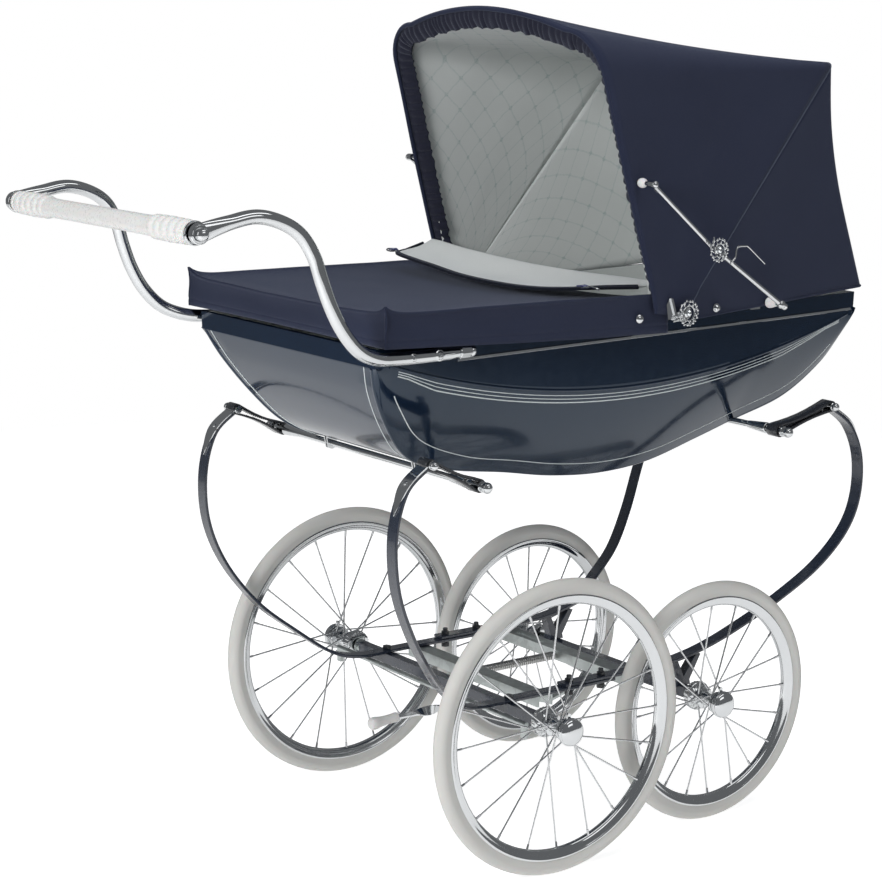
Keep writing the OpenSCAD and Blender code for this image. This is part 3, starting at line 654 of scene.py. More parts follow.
SPRING_Y, BAR_Y, SPRING_W, SPRING_T = 257.0, 160.0, 22.0, 5.0
BAR_Z = 220 + 8 + SPRING_T / 2 + 0.7
BAR_Z2 = BAR_Z + SPRING_T + 0.5
REAR_TIP, FRONT_TIP, ROLLER_RISE = (-222.0, 624.0), (543.0, 628.0), 5.0
REAR_SPRING = [
    (-222, SPRING_Y, 624), (-256, SPRING_Y, 595), (-274, SPRING_Y, 535), (-270, SPRING_Y, 460),
    (-243, 252, 390), (-198, 234, 325), (-150, 200, 280), (-100, 172, 243),
    (-52, BAR_Y, BAR_Z), (20, BAR_Y, BAR_Z), (110, BAR_Y, BAR_Z), (196, BAR_Y, BAR_Z)]
FRONT_SPRING = [
    (543, SPRING_Y, 628), (584, SPRING_Y, 597), (608, SPRING_Y, 545), (607, SPRING_Y, 482),
    (586, 252, 428), (548, 232, 372), (496, 204, 322), (440, 184, 285),
    (384, 166, 255), (323, BAR_Y, 240), (250, BAR_Y, BAR_Z2), (100, BAR_Y, BAR_Z2)]
REAR_ROD, FRONT_ROD, ROD_HALF = (-135.0, 590.0), (432.0, 606.0), 276.0


def strip_section(w, t, e):
    """Flat bar section of width w and thickness t with eased edges e, in mm."""
    a, b = w / 2, t / 2
    return [(a, b - e), (a - e, b), (-a + e, b), (-a, b - e), (-a, -b + e), (-a + e, -b), (a - e, -b), (a, -b + e)]


def flip_y(points, s):
    return [(p[0], s * p[1], p[2]) for p in points]


def spring_line(path, s):
    return [P(*p) for p in smooth(flip_y(path, s), 10)]


def make_springs():
    section = strip_section(SPRING_W, SPRING_T, 1.0)
    for name, path in (("rear", REAR_SPRING), ("front", FRONT_SPRING)):
        for s, side in SIDES:
            Build().tube(spring_line(path, s), section=section, up=(0, 1, 0)).done(
                f"c_spring_{name}_{side}", STEEL, "chassis", "navy_steel", [f"{name}_spring_{side}"], 30)


def tip_plate(t):
    """Section of the plate at share t of its length: its end is rounded to a point."""
    w = 11.6 if t < 0.45 else 11.6 * (1 - ((t - 0.45) / 0.56) ** 2.2)
    w = max(w, 0.6)
    return [(w, 0.8), (w - 0.3, 1.1), (-w + 0.3, 1.1), (-w, 0.8), (-w, -0.8), (-w + 0.3, -1.1), (w - 0.3, -1.1),
            (w, -0.8)]


def roller_place(tip, away):
    return tip[0] - away * 4, tip[1] + ROLLER_RISE


def make_tip(b, tip, path, s, away):
    """Chrome plate riveted along the outside of the spring's tip, its roller, pin and balls."""
    line = spring_line(path, s)[:17]
    outside = []
    for i, p in enumerate(line):
        head = unit(line[min(i + 1, len(line) - 1)] - line[max(i - 1, 0)])
        n = head.cross(Vector((0, 1, 0)))
        n = n if n.dot(Vector((away, 0, 0.4))) > 0 else -n
        outside.append(p + n * (3.6 * MM))
    b.tube(outside, section=tip_plate, up=(0, 1, 0))
    rivet = 8
    normal = unit(outside[rivet] - line[rivet])
    b.ball(outside[rivet] + normal * 0.001, 3.4, normal, 0.5, 16)
    x, z = roller_place(tip, away)
    b.rod(P(x, s * (SPRING_Y - 13), z), P(x, s * (SPRING_Y + 13), z), 4.4)
    for h in (-13.5, 13.5):
        b.lathe([(0, -1.6), (5.5, -1.6), (6.2, -0.8), (6.2, 0.8), (5.5, 1.6), (0, 1.6)],
                P(x, s * SPRING_Y + h, z), (0, 1, 0), 24)
    b.ball(P(x, s * (SPRING_Y + 18), z), 6.4, (0, 1, 0), 0.95)


def make_tips():
    b = Build()
    for s in (LEFT, RIGHT):
        make_tip(b, REAR_TIP, REAR_SPRING, s, -1)
        make_tip(b, FRONT_TIP, FRONT_SPRING, s, 1)
    b.done("tip_fittings_detail", CHROME, "chassis", "chrome", ["spring_tip_fittings"], 34, merge=False)


STRAP_SECTION = [(-11.2, -1.2), (-10.6, -1.7), (10.6, -1.7), (11.2, -1.2), (11.2, 1.2), (10.6, 1.7),
                 (-10.6, 1.7), (-11.2, 1.2)]
ROLLER_LOOP, ROD_LOOP, PINCH = 6.8, 8.3, 4.2      # radii of a strap's two loops, and how far its runs draw in
FIRST_STITCH = 14                                 # the stitches leave out the turn over the roller


def strap_ring(a, b):
    """Side view of a strap looped over the roller at a and the tub's rod at b, as (x, z) places."""
    d = (b[0] - a[0], b[1] - a[1])
    slant, length = math.atan2(d[1], d[0]), math.hypot(*d)
    runs = [(length * k / 6, lerp(ROLLER_LOOP, ROD_LOOP, k / 6) - PINCH * math.sin(math.pi * k / 6))
            for k in range(1, 6)]
    loop = arc(ROLLER_LOOP, 90, 270, 12) + [(p, -q) for p, q in runs]
    loop += [(length + p, q) for p, q in arc(ROD_LOOP, -90, 90, 12)] + runs[::-1]
    c, k = math.cos(slant), math.sin(slant)
    return [(a[0] + p * c - q * k, a[1] + p * k + q * c) for p, q in loop]


def make_strap(end, side, s, a, rod):
    """One leather strap with its sewn edges."""
    ring = strap_ring(a, rod)
    n = len(ring)
    rows = []
    for i, (x, z) in enumerate(ring):
        p, q = ring[i - 1], ring[(i + 1) % n]
        m = math.hypot(q[0] - p[0], q[1] - p[1])
        nx, nz = (q[1] - p[1]) / m, (p[0] - q[0]) / m
        rows.append([P(x + nx * h, s * SPRING_Y + w, z + nz * h) for w, h in STRAP_SECTION])
    band = Build().grid(rows, wrap=True, close=True).done(
        f"strap_leather_{end}_{side}", LEATHER, "chassis", "strap_leather", [f"strap_{end}_{side}"], 50, ride=False)
    stitch = Build()
    for w in (-9.2, 9.2):
        for i in range(FIRST_STITCH, n - 1):
            p, q = rows[i][2], rows[i + 1][2]
            if (q - p).length < 0.004:
                continue
            inwards = unit(rows[i][5] - p) * 0.0002
            p, q = (Vector((v.x, (s * SPRING_Y + w) * MM, v.z)) - inwards for v in (p, q))
            count = max(1, int((q - p).length / 0.0036))
            for k in range(count):
                stitch.tube([lerp(p, q, (k + 0.18) / count), lerp(p, q, (k + 0.82) / count)], 0.45, 6)
    thread = stitch.done(f"strap_stitches_{end}_{side}", DARK, "chassis", "strap_leather", merge=False, ride=False)
    for obj in (band, thread):
        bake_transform(obj, "chassis", "carriage", start=P(a[0], 0, a[1]), end=P(rod[0], 0, rod[1]))


def make_straps():
    for end, tip, rod, away in (("rear", REAR_TIP, REAR_ROD, -1), ("front", FRONT_TIP, FRONT_ROD, 1)):
        for s, side in SIDES:
            make_strap(end, side, s, roller_place(tip, away), rod)


def make_axles():
    for node, material, bevel in (
            ("rear_axle", STEEL, 1.2), ("front_axle", STEEL, 1.2), ("axle_risers", STEEL, 0.8),
            ("cross_members", ZINC, 0.7), ("diagonal_strut", ZINC, 0.6), ("chassis_bolts", DARK, 0.5),
            ("brake_shaft", ZINC, 0.5)):
        paint(node, material, bevel)
    b = Build()
    for x, track, z in (wheel[1:] for wheel in WHEELS):
        for s in (LEFT, RIGHT):
            inner = s * (track - 42)
            b.lathe([(6.2, 0), (11, 0), (11.4, 0.6), (11.4, 3.0), (9.6, 3.4), (9.6, 9), (8.6, 10), (8.6, 0.5)],
                    P(x, inner, z), (0, -s, 0), 32)
    b.done("axle_collars", ZINC, "chassis", "galvanised", angle=34)


def make_coil():
    """Tension spring between the axles, with a hooked end on either side."""
    x0, x1, y, z, r, turns = 80.0, 222.0, 15.0, 220.0, 5.5, 34
    n = turns * 12
    path = [P(lerp(x0, x1, i / n), y + r * math.cos(turn(i, 12)), z + r * math.sin(turn(i, 12)))
            for i in range(n + 1)]
    b = Build().tube(path, 1.5, 6)
    for x, d in ((x0, -1), (x1, 1)):
        hook = [P(x + d * u, y, z + v) for u, v in smooth([(0, 0), (3, 0), (7, 3), (9, -1), (6, -5)], 4)]
        b.tube(hook, 1.3, 8)
    b.done("tension_coil", SPRING, "chassis", "spring_steel", ["tension_spring"], 60, merge=False)


BRAKE_AT, BRAKE_Y = (-34.0, 221.0), -88.0


def make_brake():
    """Foot brake: a lever strap twisted once on its way to the turned white grip."""
    x0, x1 = BRAKE_AT[0] + 2, BRAKE_AT[0] - 117
    z0, z1 = BRAKE_AT[1] - 7.4, BRAKE_AT[1] - 8.4
    line = [P(lerp(x0, x1, t), BRAKE_Y, lerp(z0, z1, t) - 1.05 * math.sin(math.pi * t)) for t in spread(0, 1, 40)]

    def twisted(t):
        a = math.pi * min(max((t - 0.22) / 0.5, 0), 1)
        return [(p * math.cos(a) - q * math.sin(a), p * math.sin(a) + q * math.cos(a))
                for p, q in strip_section(14.4, 3.2, 0.5)]
    Build().tube(line, section=twisted, up=(0, 1, 0)).done(
        "brake_lever_twist", CHROME, "brake", "chrome", ["brake_lever"], 34)
    prof = smooth([(0, 0.5), (6.2, 0.6), (7.2, 2.2), (7.4, 6), (7.0, 16), (7.4, 26), (8.2, 33), (9.2, 37), (9.6, 41),
                   (9.2, 45), (7.4, 48.2), (4.0, 49.8), (0, 50.2)], 3)
    tilt = math.radians(-94)
    axis = Vector((math.sin(tilt), 0, math.cos(tilt)))
    Build().lathe(prof, P(BRAKE_AT[0] - 116, BRAKE_Y, BRAKE_AT[1] - 8), axis, 40).done(
        "brake_grip_turned", GRIP, "brake", "white_grip", ["brake_grip"], 40)


make_springs()
make_tips()
make_straps()
make_axles()
make_coil()
make_brake()


# ---------------------------------------------------------------- tub

KEEL = [(-286, 762), (-268, 722), (-235, 672), (-196, 628), (-152, 603), (-90, 588), (-10, 576), (80, 560),
        (172, 553), (264, 560), (358, 584), (450, 611), (530, 640), (584, 690), (606, 740), (613, 776)]
TUB_TOP_W, TUB_TOP, RIM_RISE, WALL = 232.0, 830.0, 22.0, 7.0
FLANK_SWELL = 20.0
KEEL_LINE = smooth(KEEL, 10)
KEEL_X = [p[0] for p in KEEL_LINE]
KEEL_Z = [p[1] for p in KEEL_LINE]


def lift(x):
    """Height of the rim's underside, which rises towards the hood."""
    return 766 + 14 * (x + 286) / 899


def low_half(z):
    """Half width of the tub's bottom where its keel is at height z."""
    return 155 + (z - 604) * (0.451 if z > 604 else 0.06)


def shrink(p, d):
    """A keel point drawn in by d, towards the middle of the tub's side view."""
    vx, vz = p[0] - 170, p[1] - 860
    n = math.hypot(vx, vz)
    return p[0] - d * vx / n * 1.12, p[1] - d * vz / n * 1.12


def crease(x, low=None):
    """Height of the crease between flank and rim; with low, it stays above the keel."""
    c = min(696 + 0.00038 * (x - 165) ** 2, lift(x) - 3)
    return c if low is None else max(low + 2, c)


def keel(x):
    return float(np.interp(x, KEEL_X, KEEL_Z))


def side_half(x, z):
    """Half width of the tub's outside at a place of its side view."""
    low_z = keel(x)
    c = crease(x, low_z)
    if z >= c:
        return TUB_TOP_W + 3 * (z - c) / (TUB_TOP - c)
    t = max(0.0, (z - low_z) / (c - low_z))
    low = low_half(low_z)
    return lerp(low, TUB_TOP_W, t) + FLANK_SWELL * t * (1 - t)


def tub_section(p, d):
    """Half section at keel point p drawn in by d: rim, crease, then down the flank to the lower edge."""
    low, top, (x, z) = low_half(p[1]) - d, TUB_TOP_W - d, shrink(p, d)
    c = crease(x, z)
    rim = lift(x) + RIM_RISE
    half = [(top + 3 * (rim - c) / (TUB_TOP - c) * k, c + (rim - c) * k) for k in (1, 0.75, 0.5, 0.25, 0.06)]
    half += [(lerp(low, top, t) + FLANK_SWELL * t * (1 - t), lerp(z, c, t)) for t in spread(1, 0, 14)]
    return x, half


def tub_skin(b, d, flip=False, across=10):
    """One side of the tub wall, from rim to rim, with its flat ends."""
    rows = []
    for p in KEEL_LINE:
        x, half = tub_section(p, d)
        low, z = half[-1]
        row = [P(x, y, h) for y, h in half]
        row += [P(x, low * (1 - 2 * i / across), z) for i in range(1, across)]
        row += [P(x, -y, h) for y, h in reversed(half)]
        rows.append(row)
    b.grid(rows, flip=flip)
    m = len(rows[0])
    k = len(b.v) - len(rows) * m
    first, last = tuple(k + j for j in range(m)), tuple(k + (len(rows) - 1) * m + j for j in range(m))
    b.f.append(first if flip else tuple(reversed(first)))
    b.f.append(tuple(reversed(last)) if flip else last)
    return rows


def edge_line(d, s):
    """The tub's lower edge on one side, drawn in by d."""
    places = ((shrink(p, d * 0.8), low_half(p[1]) - d) for p in KEEL_LINE)
    return [P(x, s * y, z) for (x, z), y in places]


def on_side(points, s, proud):
    return [P(x, s * (side_half(x, z) + proud), z) for x, z in points]


def drop(x, base):
    """How far a painted line runs under the crease: less near both ends of the tub."""
    return base * min(1.0, max(0.35, (600 - x) / 130.0)) * min(1.0, max(0.6, (x + 300) / 120.0))


def coach_lines():
    """Painted lines: three under each flank's crease and one along its lower edge, and two on the rear panel."""
    b = Build()
    for s in (LEFT, RIGHT):
        for base, r in ((8.0, 0.75), (13.5, 0.75), (19.0, 1.05)):
            line = [(x, crease(x) - drop(x, base)) for x in spread(-246, 584, 90)]
            b.tube(on_side([(x, z) for x, z in line if keel(x) < z - 6], s, -0.25), r, 8)
        low = []
        for x in spread(-243, 583, 130):
            above = 19 + 9 * math.exp(-((x + 160) / 70) ** 2)
            slope = (keel(x + 4) - keel(x - 4)) / 8
            low.append((x, min(keel(x) + above * math.sqrt(1 + slope * slope), crease(x) - drop(x, 19.0))))
        b.tube(on_side(low, s, -0.25), 0.8, 8)
    for s in (LEFT, RIGHT):
        b.tube([P(x, s * (low_half(z) - 21), z) + Vector((-0.0002, 0, -0.0001)) for x, z in KEEL_LINE[:58]], 0.8, 8)
    b.done("coach_lines", LINE, "carriage", "navy_coachwork", merge=False)


def make_tub():
    b = Build()
    rows = tub_skin(b, 0.0)
    inner = Build()
    rows_in = tub_skin(inner, WALL, flip=True)
    for k in (0, -1):
        b.grid([[r[k] for r in rows], [r[k] for r in rows_in]])
    for k in (0, -1):
        b.grid([[r[k][0], r[k][-1]] for r in (rows, rows_in)])
    b.done("tub_panels", COACH, "carriage", "navy_coachwork", ["tub_shell"], 24)
    inner.done("tub_liner", LINER_PLAIN, "carriage", "lining_cloth", angle=60)

    trim = Build()
    for s in (LEFT, RIGHT):
        trim.tube(edge_line(3.2, s), 4.4, 14)
        line = [(x, crease(x, keel(x))) for x in spread(-262, 600, 120)]
        trim.tube(on_side(line, s, -0.9), 2.6, 10)
    trim.done("tub_beads", COACH, "carriage", "navy_coachwork", merge=False)
    coach_lines()

    rail = Build()
    section = strip_section(4.2, 1.6, 0.5)
    for s in (LEFT, RIGHT):
        line = [(x, lift(x) - 4.5) for x in spread(-150, 606, 60)]
        rail.tube(on_side(line, s, 0.7), section=section, up=(0, 0, 1))
    rail.done("rail_strip", CHROME, "carriage", "chrome", ["tub_rail"], 34)

    rods = Build()
    for x, z in (REAR_ROD, FRONT_ROD):
        rods.rod(P(x, -ROD_HALF - 2, z), P(x, ROD_HALF + 2, z), 5.0)
        for s in (LEFT, RIGHT):
            rods.ball(P(x, s * 284, z), 8.0, (0, 1, 0), 0.96, 32)
            rods.lathe(smooth([(5, 0), (8.2, 1.2), (8.4, 6), (7.2, 22), (5.8, 40), (5, 44)], 3),
                       P(x, s * 240, z), (0, -s, 0), 32)
            rods.lathe([(5, 0), (7.6, 0.4), (8.0, 1.6), (8.0, 3.2), (7.4, 4), (5, 4.2)],
                       P(x, s * 271, z), (0, s, 0), 32)
            top = keel(x) + 4 - z
            plate = [(-9, 8), (-6.4, -7), (0, -9.4), (6.4, -7), (9, 8), (9, top), (-9, top)]
            for y in (118, 112):
                rods.prism(plate, 3.0, P(x, s * y - 1.5, z), (0, -1, 0), (1, 0, 0))
            for k in (-5, 5):
                rods.ball(P(x + k, s * 126, z + 15), 3.0, (0, s, 0), 0.5, 12)
    rods.done("body_rod_set", CHROME, "carriage", "chrome", ["body_rods"], 36)


def make_pad(name, x0, x1, z0, z1, half_at, cap, voxel):
    """A swelled cushion between two x and two z places; half_at(x) is its half width."""
    b = Build()
    n, m = 40, 48
    rows = []
    for i in range(n + 1):
        x = lerp(x0, x1, i / n)
        e = min(1.0, math.sqrt(max(0.0, 1 - (2 * i / n - 1) ** 8)) + 0.02)
        half, thick = half_at(x), 0.5 * (z1 - z0) * e
        rows.append([P(x, half * math.copysign(abs(c) ** 0.35, c),
                       lerp(z0, z1, 0.5) + thick * math.copysign(abs(k) ** 0.6, k)) for c, k in circle(1, m)])
    b.grid(rows, wrap=True)
    b.f += [tuple(range(m)), tuple(n * m + k for k in reversed(range(m)))]
    obj = b.done(name, COTTON, "carriage", ride=False)
    swell(obj, cap, voxel)
    return obj


def make_mattress():
    """Padded mattress, swelled by a short pressure simulation, and a pillow at the hood end."""
    mattress = make_pad("mattress_pad", -140, 520, 622, 657, lambda x: min(low_half(keel(x)) + 12, 168) - 6,
                        9 * MM, 0.008)
    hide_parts("mattress")
    pillow = make_pad("pillow_pad", 340, 520, 662, 692, lambda x: 130, 12 * MM, 0.006)
    for pad, fill in ((mattress, 0.7), (pillow, 0.5)):
        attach(pad, "carriage")


def swell(obj, cap, voxel):
    """Remeshes a pad and lets a cloth simulation puff it up, with no vertex moving further than cap."""
    bpy.context.view_layer.update()
    m = obj.modifiers.new("remesh", "REMESH")
    m.mode = "VOXEL"
    m.voxel_size = voxel
    apply_modifiers(obj)
    start = np.array([v.co for v in obj.data.vertices])
    cloth = obj.modifiers.new("cloth", "CLOTH")
    cloth.settings.use_pressure = True
    cloth.settings.uniform_pressure_force = 4
    cloth.settings.effector_weights.gravity = 0
    cloth.point_cache.frame_start, cloth.point_cache.frame_end = 1, 20
    for frame_no in range(1, 21):
        SCENE.frame_set(frame_no)
    apply_modifiers(obj)
    SCENE.frame_set(1)
    co = np.array([v.co for v in obj.data.vertices])
    move = co - start
    far = np.linalg.norm(move, axis=1, keepdims=True)
    co = start + move * np.minimum(1.0, cap / np.maximum(far, 1e-9))
    obj.data.vertices.foreach_set("co", co.astype(np.float32).ravel())
    obj.data.update()
    obj.data.shade_smooth()
    sub = obj.modifiers.new("soft", "SUBSURF")
    sub.levels = sub.render_levels = 1


def apply_modifiers(obj):
    deps = bpy.context.evaluated_depsgraph_get()
    new = bpy.data.meshes.new_from_object(obj.evaluated_get(deps), depsgraph=deps)
    obj.modifiers.clear()
    old, obj.data = obj.data, new
    bpy.data.meshes.remove(old)


# ---------------------------------------------------------------- handle

HANDLE = [(-148, 247, 777), (-205, 247, 776), (-262, 250, 777), (-300, 259, 781), (-334, 268, 795), (-361, 272, 822),
          (-381, 273, 856), (-395, 272, 892), (-406, 270, 926), (-424, 267, 955), (-452, 265, 973), (-489, 264, 982),
          (-530, 263, 976), (-571, 262, 965)]
GRIP_AT, GRIP_HALF = (-571.0, 965.0), 247.0


def handle_section(t):
    """The tube's section: it thins at the tub's end and flattens where it meets the grip."""
    flat = max(0.0, (t - 0.90) / 0.10)
    flat = flat * flat * (3 - 2 * flat)
    thin = 1 - 0.22 * max(0.0, (0.045 - t) / 0.045)
    w, h = lerp(9.5, 13.0, flat) * thin, lerp(9.5, 4.0, flat) * thin
    return [(h * a, w * b) for a, b in circle(1, 24)]


def make_handle():
    gx, gz = GRIP_AT
    lug_x, lug_z = (-239, -196), 776.5
    for s, side in SIDES:
        across, ahead = (0, s, 0), (1, 0, 0.02)

        def at(x, y, z):
            return P(x, s * y, z)
        b = Build().tube([P(*p) for p in smooth(flip_y(HANDLE, s), 9)], section=handle_section, up=(0, 1, 0))
        b.lathe([(0, -4.0), (12.4, -4.0), (13.6, -2.8), (13.6, 2.8), (12.4, 4.0), (0, 4.0)], at(gx, 262, gz),
                (0, 1, 0), 40)
        b.done(f"handle_bar_{side}", CHROME, "carriage", "chrome", [f"handle_tube_{side}"], 36)

        f = Build()
        f.lathe([(0, 0), (11.6, 0), (12.0, 0.8), (11.6, 1.8), (9.0, 2.2), (0, 2.4)], at(gx, 266, gz), across, 32)
        f.lathe(smooth([(8.4, 0), (8.6, 3.0), (8.0, 6.0), (6.0, 8.6), (3.2, 9.8), (0, 10.2)], 3),
                at(gx, 267.5, gz), across, 32)
        f.lathe([(7, 0), (15.2, 0), (16.0, 1.0), (16.0, 3.4), (15.2, 4.4), (7, 4.4)],
                at(gx, GRIP_HALF + 3, gz), across, 40)
        f.rod(at(gx, 236, gz), at(gx, 266, gz), 6.6)
        for x, r in zip(lug_x, (4.2, 5.6)):
            f.lathe([(0, 0), (r + 2.2, 0), (r + 2.4, 0.8), (r + 0.6, 1.5), (r, 2.0), (r * 0.8, 3.4), (0, 3.9)],
                    at(x, 255.4, lug_z), across, 28)
            w = r * 0.7
            f.prism([(-w, -0.5), (w, -0.5), (w, 0.5), (-w, 0.5)], 0.5, at(x, 259, lug_z), across, (1, 0, 0.6))
        f.tube([at(-188, 256.2, 777.2), at(-178, 256.6, 777.6), at(-170, 256.2, 777.8)],
               lambda t: 1.9 - 1.5 * t, 10)
        for x in lug_x:
            f.rod(at(x, 231, lug_z), at(x, 240, lug_z), 6.5)
        f.prism(circle(9.6, 6, math.radians(12)), 17.0, at(-156, 247, 777.4), ahead, (0, 1, 0))
        f.lathe(smooth([(8.4, 0), (9.4, 2.0), (9.2, 5.4), (7.0, 8.6), (3.4, 10.2), (0, 10.5)], 3),
                at(-141, 247, 777.4), ahead, 32)
        f.lathe([(6, 0), (10.4, 0.2), (10.8, 1.6), (10.4, 3.0), (6, 3.2)], at(-160, 247, 777.2), ahead, 32)
        f.rod(at(-147, 232, 777.4), at(-147, 244, 777.4), 6.0)
        f.done(f"handle_hardware_{side}", CHROME, "carriage", "chrome",
               ["handle_fixings"] if side == "left" else [], 36, bevel=0.5)

    # Half of the grip, as (radius, place along it): five hand rings, then a plain middle.
    profile = [(13.2, 0), (15.2, 1.5), (15.8, 6)]
    for k in range(5):
        y, size = 14 + 18 * k, 17.2 - 0.35 * abs(k - 2)
        profile += [(size - 2.2, y - 5.5), (size - 0.3, y - 1.5), (size, y + 3.0), (size - 0.6, y + 7.5),
                    (size - 2.3, y + 11.0)]
    profile += [(14.2, 102), (13.6, 116), (13.5, GRIP_HALF - 80), (13.5, GRIP_HALF)]
    line = [(r, h - GRIP_HALF) for r, h in smooth(profile, 4)]
    line = [(7.1, -GRIP_HALF)] + line + [(r, -h) for r, h in reversed(line[:-1])] + [(7.1, GRIP_HALF)]
    Build().lathe(line, P(gx, 0, gz), (0, 1, 0)).done(
        "grip_sleeve", GRIP, "carriage", "white_grip", ["handle_grip"], 50)


# ---------------------------------------------------------------- apron and flap

APRON_X0, APRON_X1, APRON_W = -289.0, 206.0, 262.0
APRON_TOP_END = 182.0                       # the top sheet stops here, under the flap
WALL_ROWS = (0, 0.015, 0.03, 0.05, 0.08, 0.13, 0.2, 0.3, 0.42, 0.55, 0.66, 0.74, 0.78, 0.80, 0.82, 0.86, 0.93, 1.0)


def apron_edge_z(x):
    return float(np.interp(x, (APRON_X0, -150, 60, APRON_X1), (842, 841, 838, 834.5)))


def apron_hem_z(x):
    return float(np.interp(x, (APRON_X0, -58, 78, APRON_X1), (793.5, 783, 778, 775)))


def apron_top(x, y):
    """Height of the apron's top: it dips inside its raised edges and peaks into an ear at each rear corner."""
    across, back = APRON_W - abs(y), x - APRON_X0
    z = apron_edge_z(x)
    sag = 9.5 + 3.5 * back / 511
    z -= sag * (1 - (y / APRON_W) ** 2) ** 0.8 * min(1.0, 0.35 + back / 90)
    z -= 3.2 * (1 - math.exp(-across / 9)) * (1 - 0.5 * math.exp(-back / 20))
    z -= 2.2 * (1 - math.exp(-back / 8))
    z += 9.5 * math.exp(-(across + back) / 17)
    z += 0.9 * noise.noise(Vector((x * 0.014, y * 0.011, 3.1)))
    return z


def apron_wall(x, y, ox, oy, t):
    """A point of the apron's wall under the top edge place (x, y); (ox, oy) points out, t runs from edge to hem."""
    top, hem = apron_top(x, y), apron_hem_z(x) if ox == 0 else 793.5 + 1.5 * (1 - (y / APRON_W) ** 2)
    z = lerp(top, hem, t)
    belly = math.sin(math.pi * t) * (1.2 - 3.6 * math.exp(-((0.3 - t) / 0.4) ** 2))
    ripple = 1.2 * noise.noise(Vector((x * 0.012, y * 0.012, z * 0.02))) * math.sin(math.pi * min(1, t * 1.2))
    lip = 1.6 * math.exp(-((t - 0.02) / 0.04) ** 2)
    hemline = -0.9 * math.exp(-((t - 0.80) / 0.025) ** 2)
    d = belly + ripple + lip + hemline
    return P(x + ox * d, y + oy * d, z)


def make_apron():
    b = Build()
    xs = [lerp(APRON_X0, APRON_X1, t ** 1.15) for t in spread(0, 1, 120)]
    ys = [APRON_W * math.copysign(1 - (1 - abs(v)) ** 1.2, v) for v in spread(-1, 1, 96)]
    top = [x for x in xs if x < APRON_TOP_END] + [APRON_TOP_END]
    b.grid([[P(x, y, apron_top(x, y)) for y in ys] for x in top], uv=True)
    for s in (LEFT, RIGHT):
        b.grid([[apron_wall(x, s * APRON_W, 0, s, t) for t in WALL_ROWS] for x in xs], uv=True)
    b.grid([[apron_wall(APRON_X0, y, -1, 0, t) for t in WALL_ROWS] for y in ys], uv=True)
    piece = b.done("apron_cloth", NAVY_CLOTH, "carriage", "navy_cloth", ["apron"], 50, thick=1.4)

    seams = Build()
    for s in (LEFT, RIGHT):
        line = [apron_wall(APRON_X0, s * APRON_W, -1, 0, t) + Vector((-0.0004, s * 0.0006, 0))
                for t in spread(0, 1, 16)]
        seams.tube(line, 1.5, 8)
    seams.done("apron_corner_seams", NAVY_CLOTH, "carriage", "navy_cloth", merge=False)

    studs = Build()
    for s in (LEFT, RIGHT):
        studs.lathe(smooth([(7.0, 0.2), (7.3, 1.0), (6.6, 2.8), (4.6, 4.6), (2.2, 5.5), (0, 5.7)], 3),
                    P(151, s * (APRON_W + 0.6), 800), (0, s, 0), 32)
    studs.done("apron_press_studs", CHROME, "carriage", "chrome", ["apron_studs"], 40)


FLAP_EDGE = [(73, 212, 859), (50, 200, 857), (49, 150, 851), (50, 109, 847), (54, 33, 838.5), (61, -63, 835),
             (68, -130, 836.5), (78, -178, 840), (96, -206, 842.5), (130, -222, 843), (172, -236, 842)]
FLAP_RIDGE = [(124, 214, 872), (123, 196, 872), (128, 140, 866), (134, 80, 861), (146, 0, 855), (160, -70, 851.5),
              (172, -130, 850), (182, -175, 849.5), (188, -205, 849), (194, -222, 848), (200, -236, 846)]

FLAP_TAIL = ((4, -2), (7, -5), (8, -9))     # how the flap turns down behind its ridge, as x and z steps


